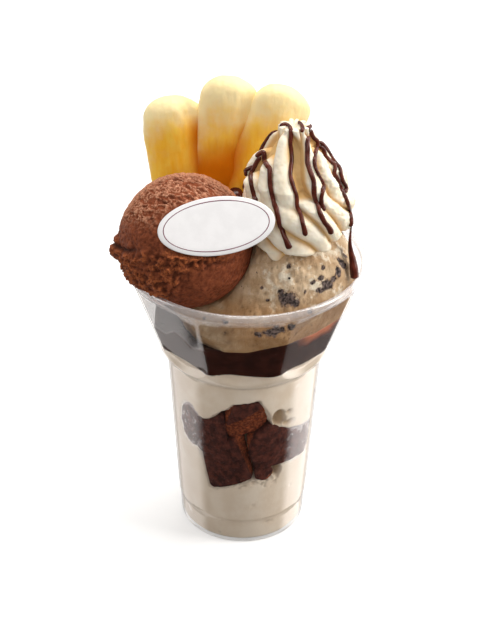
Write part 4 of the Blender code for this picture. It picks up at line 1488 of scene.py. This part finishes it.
def bananaMaterial():
    finish = Finish("banana_flesh")
    across, amber, tip = finish.mask("across"), finish.mask("amber"), finish.mask("tip")
    fibre = finish.grain(2.2, 2.0, 0.5, where=finish.stretched((1.0, 1.0, 0.22)))
    cloud = finish.grain(6.5, 4.0)
    core = finish.between(0.10, 1.0, 1.0 - tip - finish.between(0.5, 1.1, across) * 0.4 + (cloud - 0.5) * 0.9)
    mottled = finish.between(0.30, 0.70, fibre * 0.4 + cloud * 0.6)
    golden = finish.blend((0.84, 0.43, 0.018), (0.90, 0.58, 0.085), mottled)
    colour = finish.blend((0.90, 0.745, 0.41), golden, core)
    # painted shade in amber on the flank beside the next piece, and round the foot
    amberShare = amber * finish.between(0.10, 0.45, cloud * 0.5 + amber * 0.5)
    colour = finish.blend(colour, (0.60, 0.165, 0.004), amberShare)
    return finish.surface(
        Base_Color=colour,
        Roughness=0.38,
        Specular_IOR_Level=0.05,
        Subsurface_Weight=0.10,
        Subsurface_Radius=(1.0, 0.6, 0.2),
        Subsurface_Scale=0.004,
        Emission_Color=colour,  # painted glow, standing in for light that comes through the ripe flesh from behind
        Emission_Strength=0.14,
        Normal=finish.bump(fibre + cloud * 2.0, 0.35, 0.6),
    )


def buildBananas(material):
    length, tip = bananas["length"], bananas["tip"]
    turn = roundTurn(bananas["columns"])
    drop = (1.0 + np.cos(np.linspace(0.02, math.pi - 0.02, bananas["rows"])))[:, None] / 2 * length
    taper = along(bananas["taper"], drop) * np.sqrt(1.0 - np.clip(1.0 - drop / tip, 0, 1) ** 3.6)
    taper = taper * (1.0 + 0.03 * np.cos(5 * turn + 0.6))
    flat = np.cos(turn) + 0.0 * drop
    bend = 16.0 * (drop / length - 0.4) ** 2
    for name, row in bananas["pieces"].items():
        seed = row["top"][0]
        wide, deep = bananas["width"] * row["size"] / 2 * taper, bananas["depth"] * row["size"] / 2 * taper
        points = stacked(wide * np.cos(turn), deep * np.sin(turn) - bend, -drop)
        grain = lumps(points * (1.0, 1.0, 0.25), 2.4, seed, 2) * 0.22 + lumps(points, 8.0, seed + 2.0) * 0.75
        points += stacked(np.cos(turn) * grain, np.sin(turn) * grain, 0.0)
        sideways, back = row["lean"]
        spin = Matrix.Rotation(math.radians(sideways), 3, "Y") @ Matrix.Rotation(math.radians(-back), 3, "X")
        placed = points @ np.array(spin).T + row["top"]
        flank, foot, strength = row["amberShade"]
        side = eased(0.20, 0.80, flat * row["amberSide"]) * eased(*flank, drop)
        masks = {
            "across": np.abs(flat),
            "amber": np.maximum(side, strength * eased(*foot, drop + 6.0 * flat)),
            "tip": eased(row["paleTo"], -4.0, drop + 2.0 * flat),
        }
        dress(ringPiece(name + "_piece", placed, material, masks), "banana_flesh", name)


def cardMaterial():
    card = Finish("white_card")
    fibre = card.bump(card.grain(0.8, 3.0), 0.05, 0.4)
    shade = card.blend((0.80, 0.79, 0.80), (0.84, 0.83, 0.84), card.between(0.35, 0.65, card.grain(6.0)))
    return card.surface(Base_Color=shade, Roughness=0.38, Coat_Weight=0.2, Coat_Roughness=0.2, Normal=fibre)


def inkMaterial():
    ink = Finish("plum_ink")
    tone = ink.blend((0.115, 0.006, 0.030), (0.16, 0.010, 0.045), ink.between(0.3, 0.7, ink.grain(1.5)))
    return ink.surface(Base_Color=tone, Roughness=0.45)


def buildTag():
    turn = roundTurn(tag["columns"])
    long, tall = tag["halves"]
    spin = tagTurn().T
    sizes = [(long - inset, tall - inset, level) for inset, level in tag["edge"]]
    sizes = [(*tag["backMiddle"], -0.5), *sizes, *((x, y, 0.5) for x, y in tag["frontRings"])]
    rings = [stacked(x * np.cos(turn), y * np.sin(turn), level * tag["thick"]) for x, y, level in sizes]
    piece = ringPiece("ovalTag", np.array(rings) @ spin + tag["middle"], cardMaterial())
    dress(piece, "white_card", "oval_tag")
    # the thin plain line
    across, up = tag["line"]
    line = stacked(long * across * np.cos(turn), tall * up * np.sin(turn), tag["thick"] / 2)
    out = line * (1.0, 1.0, 0.0)
    out /= np.linalg.norm(out, axis=1)[:, None]
    band = np.concatenate([line + out * offset + (0.0, 0.0, lift) for offset, lift in tag["band"]])
    here = np.arange(len(band)).reshape(-1, len(turn))
    beside = np.roll(here, -1, axis=1)
    faces = np.stack([here, beside, np.roll(beside, -1, axis=0), np.roll(here, -1, axis=0)], axis=-1)
    piece = newPiece("tagLine", band @ spin + tag["middle"], faces.reshape(-1, 4).tolist(), inkMaterial())
    dress(piece, "white_card", "oval_tag")


buildChocolate(chocolateMaterial())
cookieScoop = buildCookie(cookieMaterial())
buildCrumbs(cookieScoop)
print("scoops ready")
pipedSwirl = buildSwirl(swirlMaterial())
buildDrizzle(sauceMaterial(), pipedSwirl)
print("swirl and sauce ready")
buildBananas(bananaMaterial())
buildTag()
print("bananas and tag ready")
